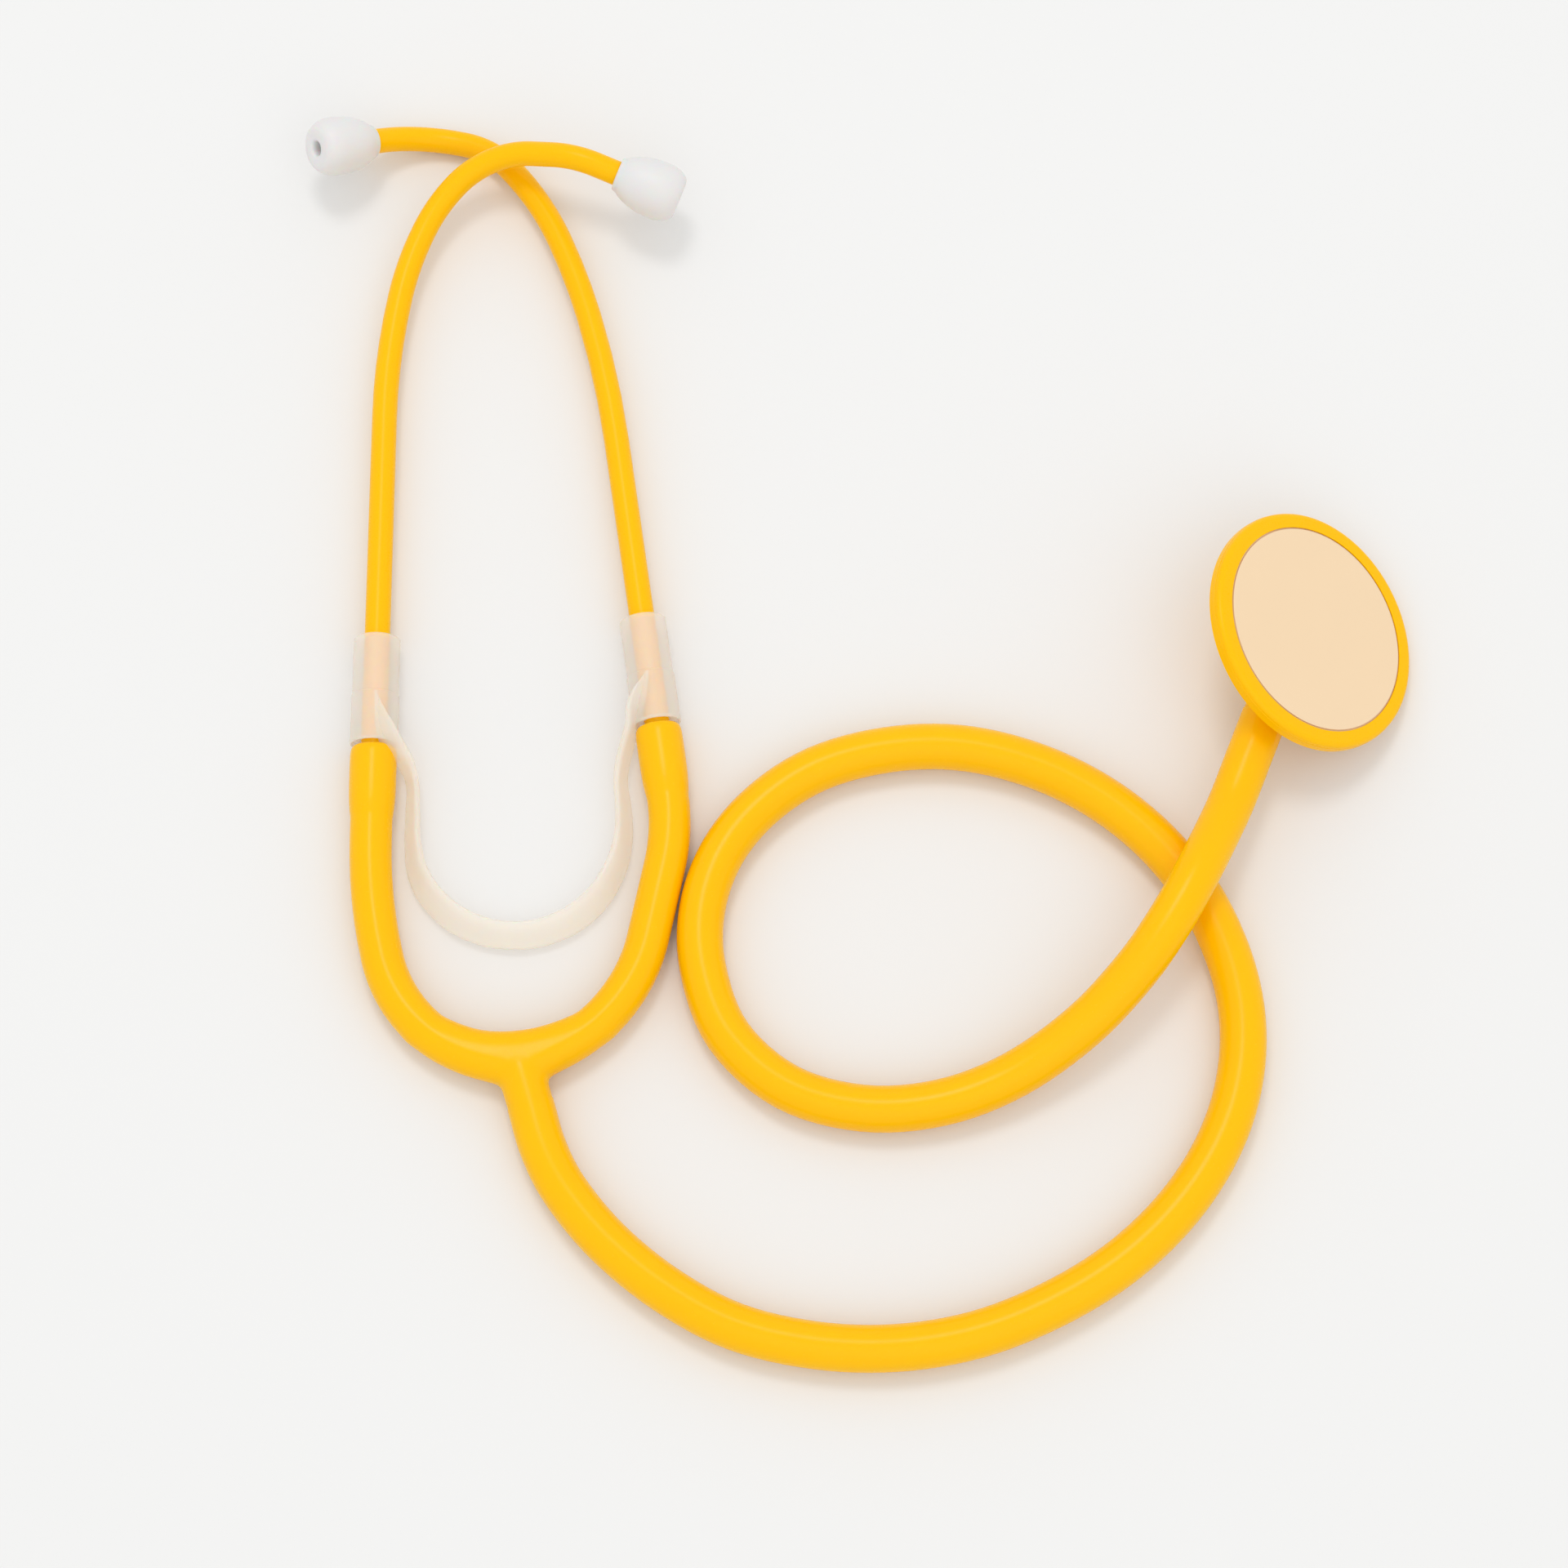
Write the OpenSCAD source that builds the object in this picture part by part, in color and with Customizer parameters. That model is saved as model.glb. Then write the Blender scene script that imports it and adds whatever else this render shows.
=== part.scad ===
// Single-head stethoscope of moulded plastic, laid flat with its ear tubes crossed and its hose in one loop.
// Millimetres, +Z up, the table at Z = 0. The origin is the middle of the laid-out object on the table.

/* [Chestpiece] */
// Outer diameter of the knurled retaining ring
ring_d = 48.2; // [46:0.2:56]
// Height of the retaining ring, front to back
ring_h = 3.2; // [2.8:0.1:5]
// Width of the ring's front, from the diaphragm that shows to the knurl
ring_face_w = 3.5; // [3:0.1:5]
// Thickness of the ring's lip over the diaphragm
ring_lip = 0.4; // [0.3:0.1:1]
// Wall of the ring beside its thread
ring_wall = 2.3; // [1.8:0.1:3]
// Number of knurl teeth round the ring
knurl_count = 180; // [60:4:240]
// Depth of the knurl
knurl_depth = 0.2; // [0.1:0.05:0.4]
// Thickness of the diaphragm
diaphragm_t = 0.4; // [0.3:0.05:0.8]
// Depth of the sound dish behind the diaphragm
dish_depth = 2.1; // [1:0.1:2.6]
// Step in from the ring to the body's rim behind it
rim_step = 1.5; // [0.5:0.1:2.5]
// Thickness of the body's rim
rim_h = 1.2; // [0.8:0.1:2]
// Depth of the body's tapered back
back_h = 2.2; // [1.5:0.1:3]
// Diameter of the flat on the body's back
back_d = 18; // [12:0.5:24]
// Depth of the stem's axis behind the front face
stem_depth = 7; // [6.8:0.1:9]
// Angle at which the stem leans back from the face
stem_lean = 14; // [12:0.5:20]
// Diameter of the boss that carries the stem
boss_d = 8.6; // [7.4:0.2:9]
// Distance from the head's axis to the hose end
stem_reach = 17; // [16.5:0.5:22]
// Diameter of the barbs on the stem
barb_d = 5.6; // [5:0.1:5.8]
// Diameter of the stem between its barbs
stem_d = 4.8; // [4:0.1:5]
// Length of the barbed stem inside the hose
stem_len = 16; // [10:0.5:17]
// Number of barbs on the stem
barb_count = 3; // [2:1:4]
// Diameter of the sound hole
sound_d = 3.2; // [2.4:0.1:3.6]

/* [Hose and arms] */
// Outer diameter of the hose
hose_d = 9; // [8.4:0.1:9.4]
// Bore of the hose
hose_bore = 5; // [4:0.1:5.4]
// Outer diameter of the Y arms
arm_d = 8.1; // [7.6:0.1:8.6]
// Bore of the Y arms
arm_bore = 4; // [3:0.1:4.6]
// Outer diameter of an arm's swelled socket
socket_d = 9.2; // [8.8:0.1:9.4]
// Length of ear tube held in an arm's socket
socket_depth = 12; // [9:0.5:14]
// Length of the taper from the socket to the arm
socket_taper = 2.5; // [1.5:0.25:4]

/* [Ear tubes] */
// Outer diameter of the ear tubes
ear_d = 5; // [4.6:0.1:5.4]
// Bore of the ear tubes
ear_bore = 3; // [2.4:0.1:3.4]
// Straight length of the left tube, from its end in the arm
left_straight = 82; // [78:0.5:86]
// Radii of the left tube's bends, in order
left_radii = [130, 58, 32, 18.5];
// Angles of the left tube's bends, in order
left_angles = [11.5, 15, 19.5, 55];
// Straight between the left tube's hook and its toe
left_reach = 4.5; // [2:0.5:8]
// Straight length of the right tube, from its end in the arm
right_straight = 73; // [68:0.5:78]
// Radii of the right tube's bends, in order
right_radii = [200, 140, 62.5, 18.9];
// Angles of the right tube's bends, in order
right_angles = [8, 7.5, 18, 33];
// Radius of the toe bends that carry the ear tips
toe_r = 19.5; // [17:0.5:24]
// Straight end of the left tube up to its ear tip
left_tail = 4.5; // [3:0.5:8]
// Straight end of the right tube up to its ear tip
right_tail = 2.5; // [2:0.5:8]

/* [Ear tips] */
// Largest diameter of an ear tip
tip_d = 11.8; // [10:0.2:13]
// Length of an ear tip
tip_len = 13.6; // [12:0.2:16]
// Diameter of an ear tip where it meets the tube
tip_base_d = 7.2; // [6.8:0.1:8.4]
// Diameter of an ear tip's sound hole
tip_hole_d = 3.2; // [2.4:0.1:3.6]
// Depth to which a tube goes into its ear tip
tip_socket = 8.5; // [6:0.25:9.5]

/* [Spring] */
// Outer diameter of the spring's sleeves
sleeve_d = 9.5; // [9.2:0.1:10.4]
// Length of the spring's sleeves
sleeve_len = 21.5; // [16:0.5:26]
// Bare tube between an arm's mouth and its sleeve
sleeve_gap = 1; // [0.5:0.25:3]
// Width of the spring's strap
strap_w = 5.6; // [4:0.1:6.4]
// Thickness of the spring's strap
strap_t = 1.6; // [1.2:0.1:2]
// Drop of the strap from the left sleeve's foot to its lowest point
strap_drop = 38.5; // [34:0.5:40]

/* [Layout on the table] */
// Place of the left arm's mouth, from the middle
left_mouth = [-92.5, -31.5];
// Place of the right arm's mouth, from the middle
right_mouth = [-37.1, -27.2];
// Lean of the right tube towards the left one
right_lean = 8.3; // [6:0.1:10]
// Roll of the left tube in its sleeve, up from the table
left_roll = 17; // [17:0.5:24]
// Roll of the right tube in its sleeve, down to the table
right_roll = 5; // [4:0.5:5]
// Straight of the left arm below its socket
left_arm_straight = 4; // [2:0.5:6]
// Radii of the left arm's two bends
left_arm_radii = [100, 27.5];
// Angles of the left arm's two bends
left_arm_angles = [14, 61];
// Radii of the right arm's two bends
right_arm_radii = [40, 32];
// Angles of the right arm's two bends
right_arm_angles = [20.3, 50];
// Straight between the right arm's two bends
right_arm_straight = 15; // [12:0.5:16]
// Heading of the Y's stem, from straight down the table
stub_heading = 17; // [10:0.5:20]
// Length of the Y's stem up to the hose
stub_len = 7; // [6:0.5:8]
// Place of the head's face, from the middle
head_place = [91.1, -11];
// Tilt of the head's face from level
head_tilt = 33; // [30:0.5:36]
// Direction of that tilt, from +X
head_tilt_heading = 4; // [0:0.5:8]
// Turn of the head about its own axis
head_spin = -112; // [-116:0.5:-108]

/* [Hidden] */
$fn = 48;
tube_sides = 20;
bend_step = 7;

// Colours of the pieces
yellow = "#FEC708";
frosted = "#ECE5DA";
tip_white = "#EFEFF1";
film = "#F6DCB7";

// Clearances and the one overrun of every cut
overrun = 0.5;
running_gap = 0.05;
seat_gap = 0.05;
thread_gap = 0.12;
strap_gap = 0.1;
hose_gap = 0.2;

// Height of the tubes' axes: the sleeves lie on the table
axis_z = sleeve_d / 2;

// Toe bends: roll out of the hook's plane, and angle
left_toe_roll = 68;
left_toe_angle = 28;
right_toe_roll = 47;
right_toe_angle = 53;

// Plan geometry of the arms. A heading is an angle from straight down the table towards +X.
function run_end(p, heading, length) = p + length * [sin(heading), -cos(heading)];
function bend_end(p, heading, r, a) =
    p + sign(a) * r * [cos(heading) - cos(heading + a), sin(heading) - sin(heading + a)];
function plan_cross(u, v) = u[0] * v[1] - u[1] * v[0];
function lines_meet(p, u, q, v) = p + u * plan_cross(q - p, v) / plan_cross(u, v);

socket_run = socket_depth + socket_taper;
root_run = socket_taper / 2;
left_arm_1 = run_end(left_mouth, 0, socket_run + left_arm_straight);
left_arm_2 = bend_end(left_arm_1, 0, left_arm_radii[0], left_arm_angles[0]);
left_arm_3 = bend_end(left_arm_2, left_arm_angles[0], left_arm_radii[1], left_arm_angles[1]);
left_heading = left_arm_angles[0] + left_arm_angles[1];
left_root = run_end(left_arm_3, left_heading, root_run);
right_arm_1 = run_end(right_mouth, right_lean, socket_run);
right_arm_2 = bend_end(right_arm_1, right_lean, right_arm_radii[0], -right_arm_angles[0]);
right_mid_heading = right_lean - right_arm_angles[0];
right_arm_3 = run_end(right_arm_2, right_mid_heading, right_arm_straight);
right_arm_4 = bend_end(right_arm_3, right_mid_heading, right_arm_radii[1], -right_arm_angles[1]);
right_heading = right_mid_heading - right_arm_angles[1];
right_root = run_end(right_arm_4, right_heading, root_run);
left_way = [sin(left_heading), -cos(left_heading)];
right_way = [sin(right_heading), -cos(right_heading)];
fork = lines_meet(left_root, left_way, right_root, right_way);
stub_way = [sin(stub_heading), -cos(stub_heading)];
stub_end = fork + stub_len * stub_way;

// Head: sizes behind the front face, and the height that lays its lowest edge on the table
ring_r = ring_d / 2;
face_r = ring_r - ring_face_w;
rim_r = ring_r - rim_step;
thread_r = ring_r - ring_wall;
diaphragm_top = ring_lip + seat_gap;
spigot_top = diaphragm_top + diaphragm_t + seat_gap;
rim_top = ring_h + thread_gap;
rim_bottom = rim_top + rim_h;
back_bottom = rim_bottom + back_h;
low_of_ring = ring_h * cos(head_tilt) + ring_r * sin(head_tilt);
low_of_rim = rim_bottom * cos(head_tilt) + rim_r * sin(head_tilt);
head_z = max(low_of_ring, low_of_rim);
knurl_top_share = 0.42;
knurl_bottom_share = 0.86;
ring_crown_share = 0.31;

// Directions of the head in the table's frame, and the hose's end on the stem
function turn_z(v, a) = [v[0] * cos(a) - v[1] * sin(a), v[0] * sin(a) + v[1] * cos(a), v[2]];
function turn_y(v, a) = [v[0] * cos(a) + v[2] * sin(a), v[1], -v[0] * sin(a) + v[2] * cos(a)];
function head_way(v) = turn_z(turn_y(turn_z(v, head_spin), head_tilt), head_tilt_heading);
head_point = [head_place[0], head_place[1], head_z];
stem_out = head_way([cos(stem_lean), 0, -sin(stem_lean)]);
stem_root = head_point + head_way([0, 0, -stem_depth]);
hose_seat = stem_root + stem_reach * stem_out;
hose_lead = stem_len + hose_d / 4;

// Route of the hose, chosen on the table: out of the Y, round the outside, one loop, over itself to the head
hose_route = [
    [-53.6, -119.8, 4.6], [-45.5, -129.5, 4.55], [-34.5, -138.5, 4.55], [-21.5, -145.5, 4.55],
    [-6.5, -149, 4.55], [8.5, -149.5, 4.55], [23.5, -147, 4.55], [37.5, -141.5, 4.55],
    [50, -134, 4.55], [60.5, -124.5, 4.55], [68.5, -113.5, 4.55], [73.5, -101.5, 4.55],
    [75.3, -88.5, 4.55], [73.5, -75.5, 4.55], [68, -62, 4.55], [59.5, -50.5, 4.55],
    [48.5, -41.3, 4.55], [35.5, -34.8, 4.55], [21.5, -31.5, 4.55], [7.5, -32, 4.55],
    [-6, -35.9, 4.55], [-16.8, -43.3, 4.55], [-24.4, -53, 4.55], [-28.2, -64.5, 4.55],
    [-27.9, -76.5, 4.55], [-23, -89.5, 4.55], [-12, -99.5, 4.55], [2.5, -103.7, 4.6],
    [17.5, -102.7, 5], [31.5, -97.5, 6.3], [44.5, -88.7, 9.2], [54.5, -78.5, 12.4],
    [61.4, -68.8, 14.1], [66.6, -59.6, 14.1], [71, -50.8, 11.6]];
stub_out = [stub_way[0], stub_way[1], 0];
stub_seat = [stub_end[0], stub_end[1], axis_z] + hose_gap * stub_out;
hose_path = concat(
    [stub_seat, stub_seat + hose_d * stub_out],
    hose_route,
    [hose_seat + hose_lead * stem_out, hose_seat + hose_lead / 2 * stem_out, hose_seat]);
hose_sides = 12;
hose_steps = 2;
flare_rings = 5;

// One smooth curve through a list of points
function at_or_past(p, i) =
    i < 0 ? 2 * p[0] - p[1] : i > len(p) - 1 ? 2 * p[len(p) - 1] - p[len(p) - 2] : p[i];
function curve_mix(a, b, c, d, t) =
    (2 * b + (c - a) * t + (2 * a - 5 * b + 4 * c - d) * pow(t, 2)
     + (3 * b - a - 3 * c + d) * pow(t, 3)) / 2;
function curve(p, steps) = [
    for (i = [0 : len(p) - 2], k = [0 : steps - 1])
        curve_mix(at_or_past(p, i - 1), p[i], p[i + 1], at_or_past(p, i + 2), k / steps),
    p[len(p) - 1]];
function unit(v) = v / norm(v);
function way_at(c, i) = unit(c[min(i + 1, len(c) - 1)] - c[max(i - 1, 0)]);
function side_at(c, i) = unit(cross(way_at(c, i), [0, 0, 1]));
function up_at(c, i) = cross(side_at(c, i), way_at(c, i));

// Strap: places as shares of the sleeves' distance and of the strap's drop and axis height, and its roll
strap_shares = [
    [0.128, -0.13, 1, 78], [0.130, 0.026, 1, 76], [0.134, 0.182, 0.94, 70], [0.143, 0.364, 0.86, 62],
    [0.147, 0.545, 0.76, 56], [0.172, 0.7, 0.66, 48], [0.241, 0.844, 0.58, 34], [0.355, 0.956, 0.52, 20],
    [0.504, 1, 0.5, 14], [0.65, 0.961, 0.52, 20], [0.774, 0.842, 0.58, 34], [0.85, 0.68, 0.66, 48],
    [0.884, 0.506, 0.76, 56], [0.884, 0.338, 0.86, 62], [0.874, 0.182, 0.94, 70], [0.876, 0.026, 1, 76]];
strap_steps = 2;
strap_corner_share = 0.3;
right_foot = run_end(right_mouth, right_lean, -sleeve_gap);
strap_span = right_foot[0] - left_mouth[0];
strap_hang = sleeve_d / 2 + strap_gap + strap_t / 2;

// Plan place of a strap point
function strap_place(s) = [
    left_mouth[0] + s[0] * strap_span,
    left_mouth[1] + sleeve_gap - s[1] * strap_drop,
    s[2] * axis_z];
left_hold = [left_mouth[0] + strap_hang, left_mouth[1] + sleeve_gap + strap_w, axis_z];
right_hold_on_axis = run_end(right_mouth, right_lean, -sleeve_gap - strap_w);
right_hold = [
    right_hold_on_axis[0] - strap_hang * cos(right_lean),
    right_hold_on_axis[1] - strap_hang * sin(right_lean),
    axis_z];
strap_rows = concat(
    [concat(left_hold, strap_shares[0][3])],
    [for (s = strap_shares) concat(strap_place(s), s[3])],
    [concat(right_hold, strap_shares[0][3])]);
strap_curve = curve(strap_rows, strap_steps);

// A frame is a point, the direction of the way on, and the side that the next bend turns to
function past_run(f, length) = [f[0] + length * f[1], f[1], f[2]];
function past_bend(f, r, a) = [
    f[0] + r * ((1 - cos(a)) * f[2] + sin(a) * f[1]),
    cos(a) * f[1] + sin(a) * f[2],
    cos(a) * f[2] - sin(a) * f[1]];
function past_roll(f, a) = [f[0], f[1], cos(a) * f[2] + sin(a) * cross(f[1], f[2])];
function past_bends(f, radii, angles, i = 0) =
    i == len(radii) ? f : past_bends(past_bend(f, radii[i], angles[i]), radii, angles, i + 1);
function bend_points(f, r, a) =
    let (steps = ceil(a / bend_step))
        [for (k = [1 : steps]) past_bend(f, r, a * k / steps)[0]];
function bends_points(f, radii, angles, i = 0) =
    i == len(radii) ? [] : concat(
        bend_points(f, radii[i], angles[i]),
        bends_points(past_bend(f, radii[i], angles[i]), radii, angles, i + 1));

// Frames of the two arms' mouths, looking up the ear tubes, each turned by its tube's roll
left_up = [[left_mouth[0], left_mouth[1], axis_z], [0, 1, 0], [cos(left_roll), 0, sin(left_roll)]];
right_up = [
    [right_mouth[0], right_mouth[1], axis_z],
    [-sin(right_lean), cos(right_lean), 0],
    [-cos(right_roll) * cos(right_lean), -cos(right_roll) * sin(right_lean), -sin(right_roll)]];

// The ear tubes' frames at the start of the toe bend, and at the ear tip
left_hook = past_bends(past_run(left_up, left_straight - socket_depth), left_radii, left_angles);
left_toe = past_roll(past_run(left_hook, left_reach), left_toe_roll);
left_tip = past_run(past_bend(left_toe, toe_r, left_toe_angle), left_tail);
right_hook = past_bends(past_run(right_up, right_straight - socket_depth), right_radii, right_angles);
right_toe = past_roll(right_hook, right_toe_roll);
right_tip = past_run(past_bend(right_toe, toe_r, right_toe_angle), right_tail);

// Puts children with their +Z along a frame's way on
module in_frame(f) {
    across = cross(f[1], f[2]);
    multmatrix([
        [f[2][0], across[0], f[1][0], f[0][0]],
        [f[2][1], across[1], f[1][1], f[0][1]],
        [f[2][2], across[2], f[1][2], f[0][2]],
        [0, 0, 0, 1]])
        children();
}

// One tube wall swept along a path, with an outer and an inner radius at each point
module swept_tube(path, outers, bores, sides) {
    last = len(path) - 1;
    outer = [for (i = [0 : last], j = [0 : sides - 1])
        let (a = 360 * j / sides)
            path[i] + outers[i] * (cos(a) * side_at(path, i) + sin(a) * up_at(path, i))];
    inner = [for (i = [0 : last], j = [0 : sides - 1])
        let (a = 360 * j / sides)
            path[i] + bores[i] * (cos(a) * side_at(path, i) + sin(a) * up_at(path, i))];
    shift = len(outer);
    walls = [for (i = [0 : last - 1], j = [0 : sides - 1], half = [0 : 3])
        let (a = i * sides + j, b = i * sides + (j + 1) % sides, s = sides)
            half == 0 ? [a, b + s, b] : half == 1 ? [a, a + s, b + s]
            : half == 2 ? [shift + a, shift + b, shift + b + s] : [shift + a, shift + b + s, shift + a + s]];
    ends = [for (j = [0 : sides - 1], half = [0 : 3])
        let (k = (j + 1) % sides, e = last * sides)
            half == 0 ? [j, k, shift + k] : half == 1 ? [j, shift + k, shift + j]
            : half == 2 ? [e + j, shift + e + k, e + k] : [e + j, shift + e + j, shift + e + k]];
    polyhedron(points = concat(outer, inner), faces = concat(walls, ends), convexity = 10);
}

// An ear tube from its held end in the arm to its end inside the tip
module ear_tube(up, straight, radii, angles, toe, toe_angle, tip) {
    path = concat(
        [past_run(up, -socket_depth)[0], up[0], past_run(up, straight - socket_depth)[0]],
        bends_points(past_run(up, straight - socket_depth), radii, angles),
        [toe[0]],
        bend_points(toe, toe_r, toe_angle),
        [tip[0], past_run(tip, tip_socket)[0]]);
    swept_tube(path, [for (p = path) ear_d / 2], [for (p = path) ear_bore / 2], tube_sides);
}

module ear_tube_left() {
    color(yellow)
        ear_tube(left_up, left_straight, left_radii, left_angles, left_toe, left_toe_angle, left_tip);
}

module ear_tube_right() {
    color(yellow)
        ear_tube(right_up, right_straight, right_radii, right_angles, right_toe, right_toe_angle, right_tip);
}

// Outline of an ear tip from its base to its nose, as shares of its length and of its swell over the base
tip_swell = (tip_d - tip_base_d) / 2;
tip_edge_share = 0.07;
tip_widest_share = 0.68;
tip_nose_share = 0.42;
tip_outline_steps = 10;
function tip_belly(k) = [
    tip_base_d / 2 + tip_swell * sin(90 * k),
    tip_len * (tip_edge_share + (tip_widest_share - tip_edge_share) * (k + pow(k, 2)) / 2)];
function tip_nose(a) = [
    tip_d / 2 * (1 - tip_nose_share) + tip_d / 2 * tip_nose_share * cos(a),
    tip_len * tip_widest_share + tip_len * (1 - tip_widest_share) * sin(a)];

module ear_tip() {
    hole_r = tip_hole_d / 2;
    funnel = tip_hole_d / 4;
    socket_r = ear_d / 2 + running_gap;
    socket_floor = tip_socket + seat_gap;
    rotate_extrude()
        polygon(concat(
            [[socket_r, 0], [(tip_base_d / 2 + socket_r) / 2, 0]],
            [for (k = [0 : tip_outline_steps]) tip_belly(k / tip_outline_steps)],
            [for (k = [1 : tip_outline_steps]) tip_nose(90 * k / tip_outline_steps)],
            [[hole_r + funnel, tip_len], [hole_r, tip_len - funnel], [hole_r, socket_floor],
             [socket_r, socket_floor]]));
}

module ear_tip_left() {
    color(tip_white)
        in_frame(left_tip)
            ear_tip();
}

module ear_tip_right() {
    color(tip_white)
        in_frame(right_tip)
            ear_tip();
}

// A sleeve of the spring, from its foot upwards, with rounded ends
module sleeve() {
    bore_r = ear_d / 2 + running_gap;
    round_r = (sleeve_d / 2 - bore_r) / 4;
    wall_in = sleeve_d / 2 - round_r;
    rotate_extrude()
        union() {
            translate([bore_r, 0])
                square([wall_in - bore_r, sleeve_len]);
            translate([wall_in - overrun / 2, round_r])
                square([round_r + overrun / 2, sleeve_len - 2 * round_r]);
            for (y = [round_r, sleeve_len - round_r])
                translate([wall_in, y])
                    circle(r = round_r);
        }
}

module spring_sleeve_left() {
    color(frosted, 0.75)
        in_frame(past_run(left_up, sleeve_gap))
            sleeve();
}

module spring_sleeve_right() {
    color(frosted, 0.75)
        in_frame(past_run(right_up, sleeve_gap))
            sleeve();
}

// Cross-section of the strap, turned by its roll about the curve's direction
function strap_section(w, t, roll) = let (c = t * strap_corner_share)
    [for (q = [[w / 2, c - t / 2], [w / 2, t / 2 - c], [w / 2 - c, t / 2], [c - w / 2, t / 2],
               [-w / 2, t / 2 - c], [-w / 2, c - t / 2], [c - w / 2, -t / 2], [w / 2 - c, -t / 2]])
        [q[0] * cos(roll) - q[1] * sin(roll), q[0] * sin(roll) + q[1] * cos(roll)]];
function place_of(row) = [row[0], row[1], row[2]];

// One closed solid through rings of points, with flat ends
module skin(rings) {
    n = len(rings[0]);
    m = len(rings);
    walls = [for (i = [0 : m - 2], j = [0 : n - 1], half = [0, 1])
        let (a = i * n + j, b = i * n + (j + 1) % n)
            half == 0 ? [a, b + n, b] : [a, a + n, b + n]];
    ends = [[for (j = [0 : n - 1]) j], [for (j = [n - 1 : -1 : 0]) (m - 1) * n + j]];
    polyhedron(points = [for (r = rings) each r], faces = concat(walls, ends), convexity = 6);
}

module spring_strap() {
    places = [for (row = strap_curve) place_of(row)];
    rings = [for (i = [0 : len(places) - 1])
        [for (q = strap_section(strap_w, strap_t, strap_curve[i][3]))
            places[i] + q[0] * side_at(places, i) + q[1] * up_at(places, i)]];
    color(frosted, 0.75)
        skin(rings);
}

// An arm from its mouth down: distances, outer and inner radii of its socket, then the plain bent arm
socket_seat_r = (ear_d / 2 + running_gap) / cos(180 / tube_sides);
socket_lip = (socket_d / 2 - socket_seat_r) / 2;
socket_rows = [
    [0, socket_d / 2 - socket_lip, socket_seat_r],
    [socket_lip, socket_d / 2, socket_seat_r],
    [socket_depth + seat_gap, socket_d / 2, socket_seat_r],
    [socket_depth + 2 * seat_gap, socket_d / 2, arm_bore / 2],
    [socket_run, arm_d / 2, arm_bore / 2]];

module arm(mouth, bent) {
    path = concat([for (r = socket_rows) past_run(mouth, r[0])[0]], bent);
    swept_tube(
        path,
        concat([for (r = socket_rows) r[1]], [for (p = bent) arm_d / 2]),
        concat([for (r = socket_rows) r[2]], [for (p = bent) arm_bore / 2]),
        tube_sides);
}

module y_arm_left() {
    mouth = [left_up[0], [0, -1, 0], [1, 0, 0]];
    start = past_run(mouth, socket_run + left_arm_straight);
    color(yellow)
        arm(mouth, concat(
            [start[0]],
            bends_points(start, left_arm_radii, left_arm_angles),
            [[left_root[0], left_root[1], axis_z]]));
}

module y_arm_right() {
    mouth = [right_up[0], -right_up[1], [-cos(right_lean), -sin(right_lean), 0]];
    start = past_run(mouth, socket_run);
    middle = past_bend(start, right_arm_radii[0], right_arm_angles[0]);
    again = past_run(middle, right_arm_straight);
    color(yellow)
        arm(mouth, concat(
            bend_points(start, right_arm_radii[0], right_arm_angles[0]),
            [again[0]],
            bend_points(again, right_arm_radii[1], right_arm_angles[1]),
            [[right_root[0], right_root[1], axis_z]]));
}

// A rod between two plan points at the axes' height
module rod(p, q, d) {
    way = q - p;
    translate([p[0], p[1], axis_z])
        rotate([0, 0, atan2(way[1], way[0])])
            rotate([0, 90, 0])
                cylinder(d = d, h = norm(way));
}

// The fork: three roots, a ball where they meet, and a web plate that fills the corners between them
web_side_share = 0.8;
web_height_share = 0.56;
inner_share = 0.97;
crotch_share = 0.6;
function left_of(way) = [-way[1], way[0]];

module fork_web() {
    side = arm_d / 2 * web_side_share;
    left_run = left_way * norm(fork - left_root);
    right_run = right_way * norm(fork - right_root);
    stub_in = fork + stub_way * stub_len * crotch_share;
    translate([0, 0, axis_z - arm_d * web_height_share / 2])
        linear_extrude(arm_d * web_height_share)
            polygon([
                fork - left_run * inner_share + side * left_of(left_way),
                fork - right_run * inner_share - side * left_of(right_way),
                fork - right_run * crotch_share + side * left_of(right_way),
                stub_in + side * left_of(stub_way),
                stub_in - side * left_of(stub_way),
                fork - left_run * crotch_share - side * left_of(left_way)]);
}

module y_junction() {
    color(yellow)
        difference() {
            union() {
                rod(left_root, fork, arm_d);
                rod(right_root, fork, arm_d);
                rod(fork, stub_end, hose_d);
                translate([fork[0], fork[1], axis_z])
                    sphere(d = socket_d);
                fork_web();
            }
            rod(left_root - overrun * left_way, fork + overrun * left_way, arm_bore);
            rod(right_root - overrun * right_way, fork + 2 * overrun * right_way, arm_bore);
            rod(fork - overrun * stub_way, stub_end + overrun * stub_way, hose_bore);
        }
}

// The hose: one tube wall swept along its route, its bore opened out over the barbed stem
module stem_tube() {
    path = curve(hose_path, hose_steps);
    last = len(path) - 1;
    flare_r = (barb_d / 2 + hose_gap) / cos(180 / hose_sides);
    color(yellow)
        swept_tube(
            path,
            [for (i = [0 : last]) hose_d / 2],
            [for (i = [0 : last]) i > last - flare_rings ? flare_r : hose_bore / 2],
            hose_sides);
}

// Frame of the head: +Z out of its face, +X along the stem's side
module at_head() {
    translate(head_point)
        rotate([0, 0, head_tilt_heading])
            rotate([0, head_tilt, 0])
                rotate([0, 0, head_spin])
                    children();
}

// Frame of the stem: +Z out along it, from the head's axis
module along_stem() {
    translate([0, 0, -stem_depth])
        rotate([0, 90 + stem_lean, 0])
            children();
}

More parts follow.
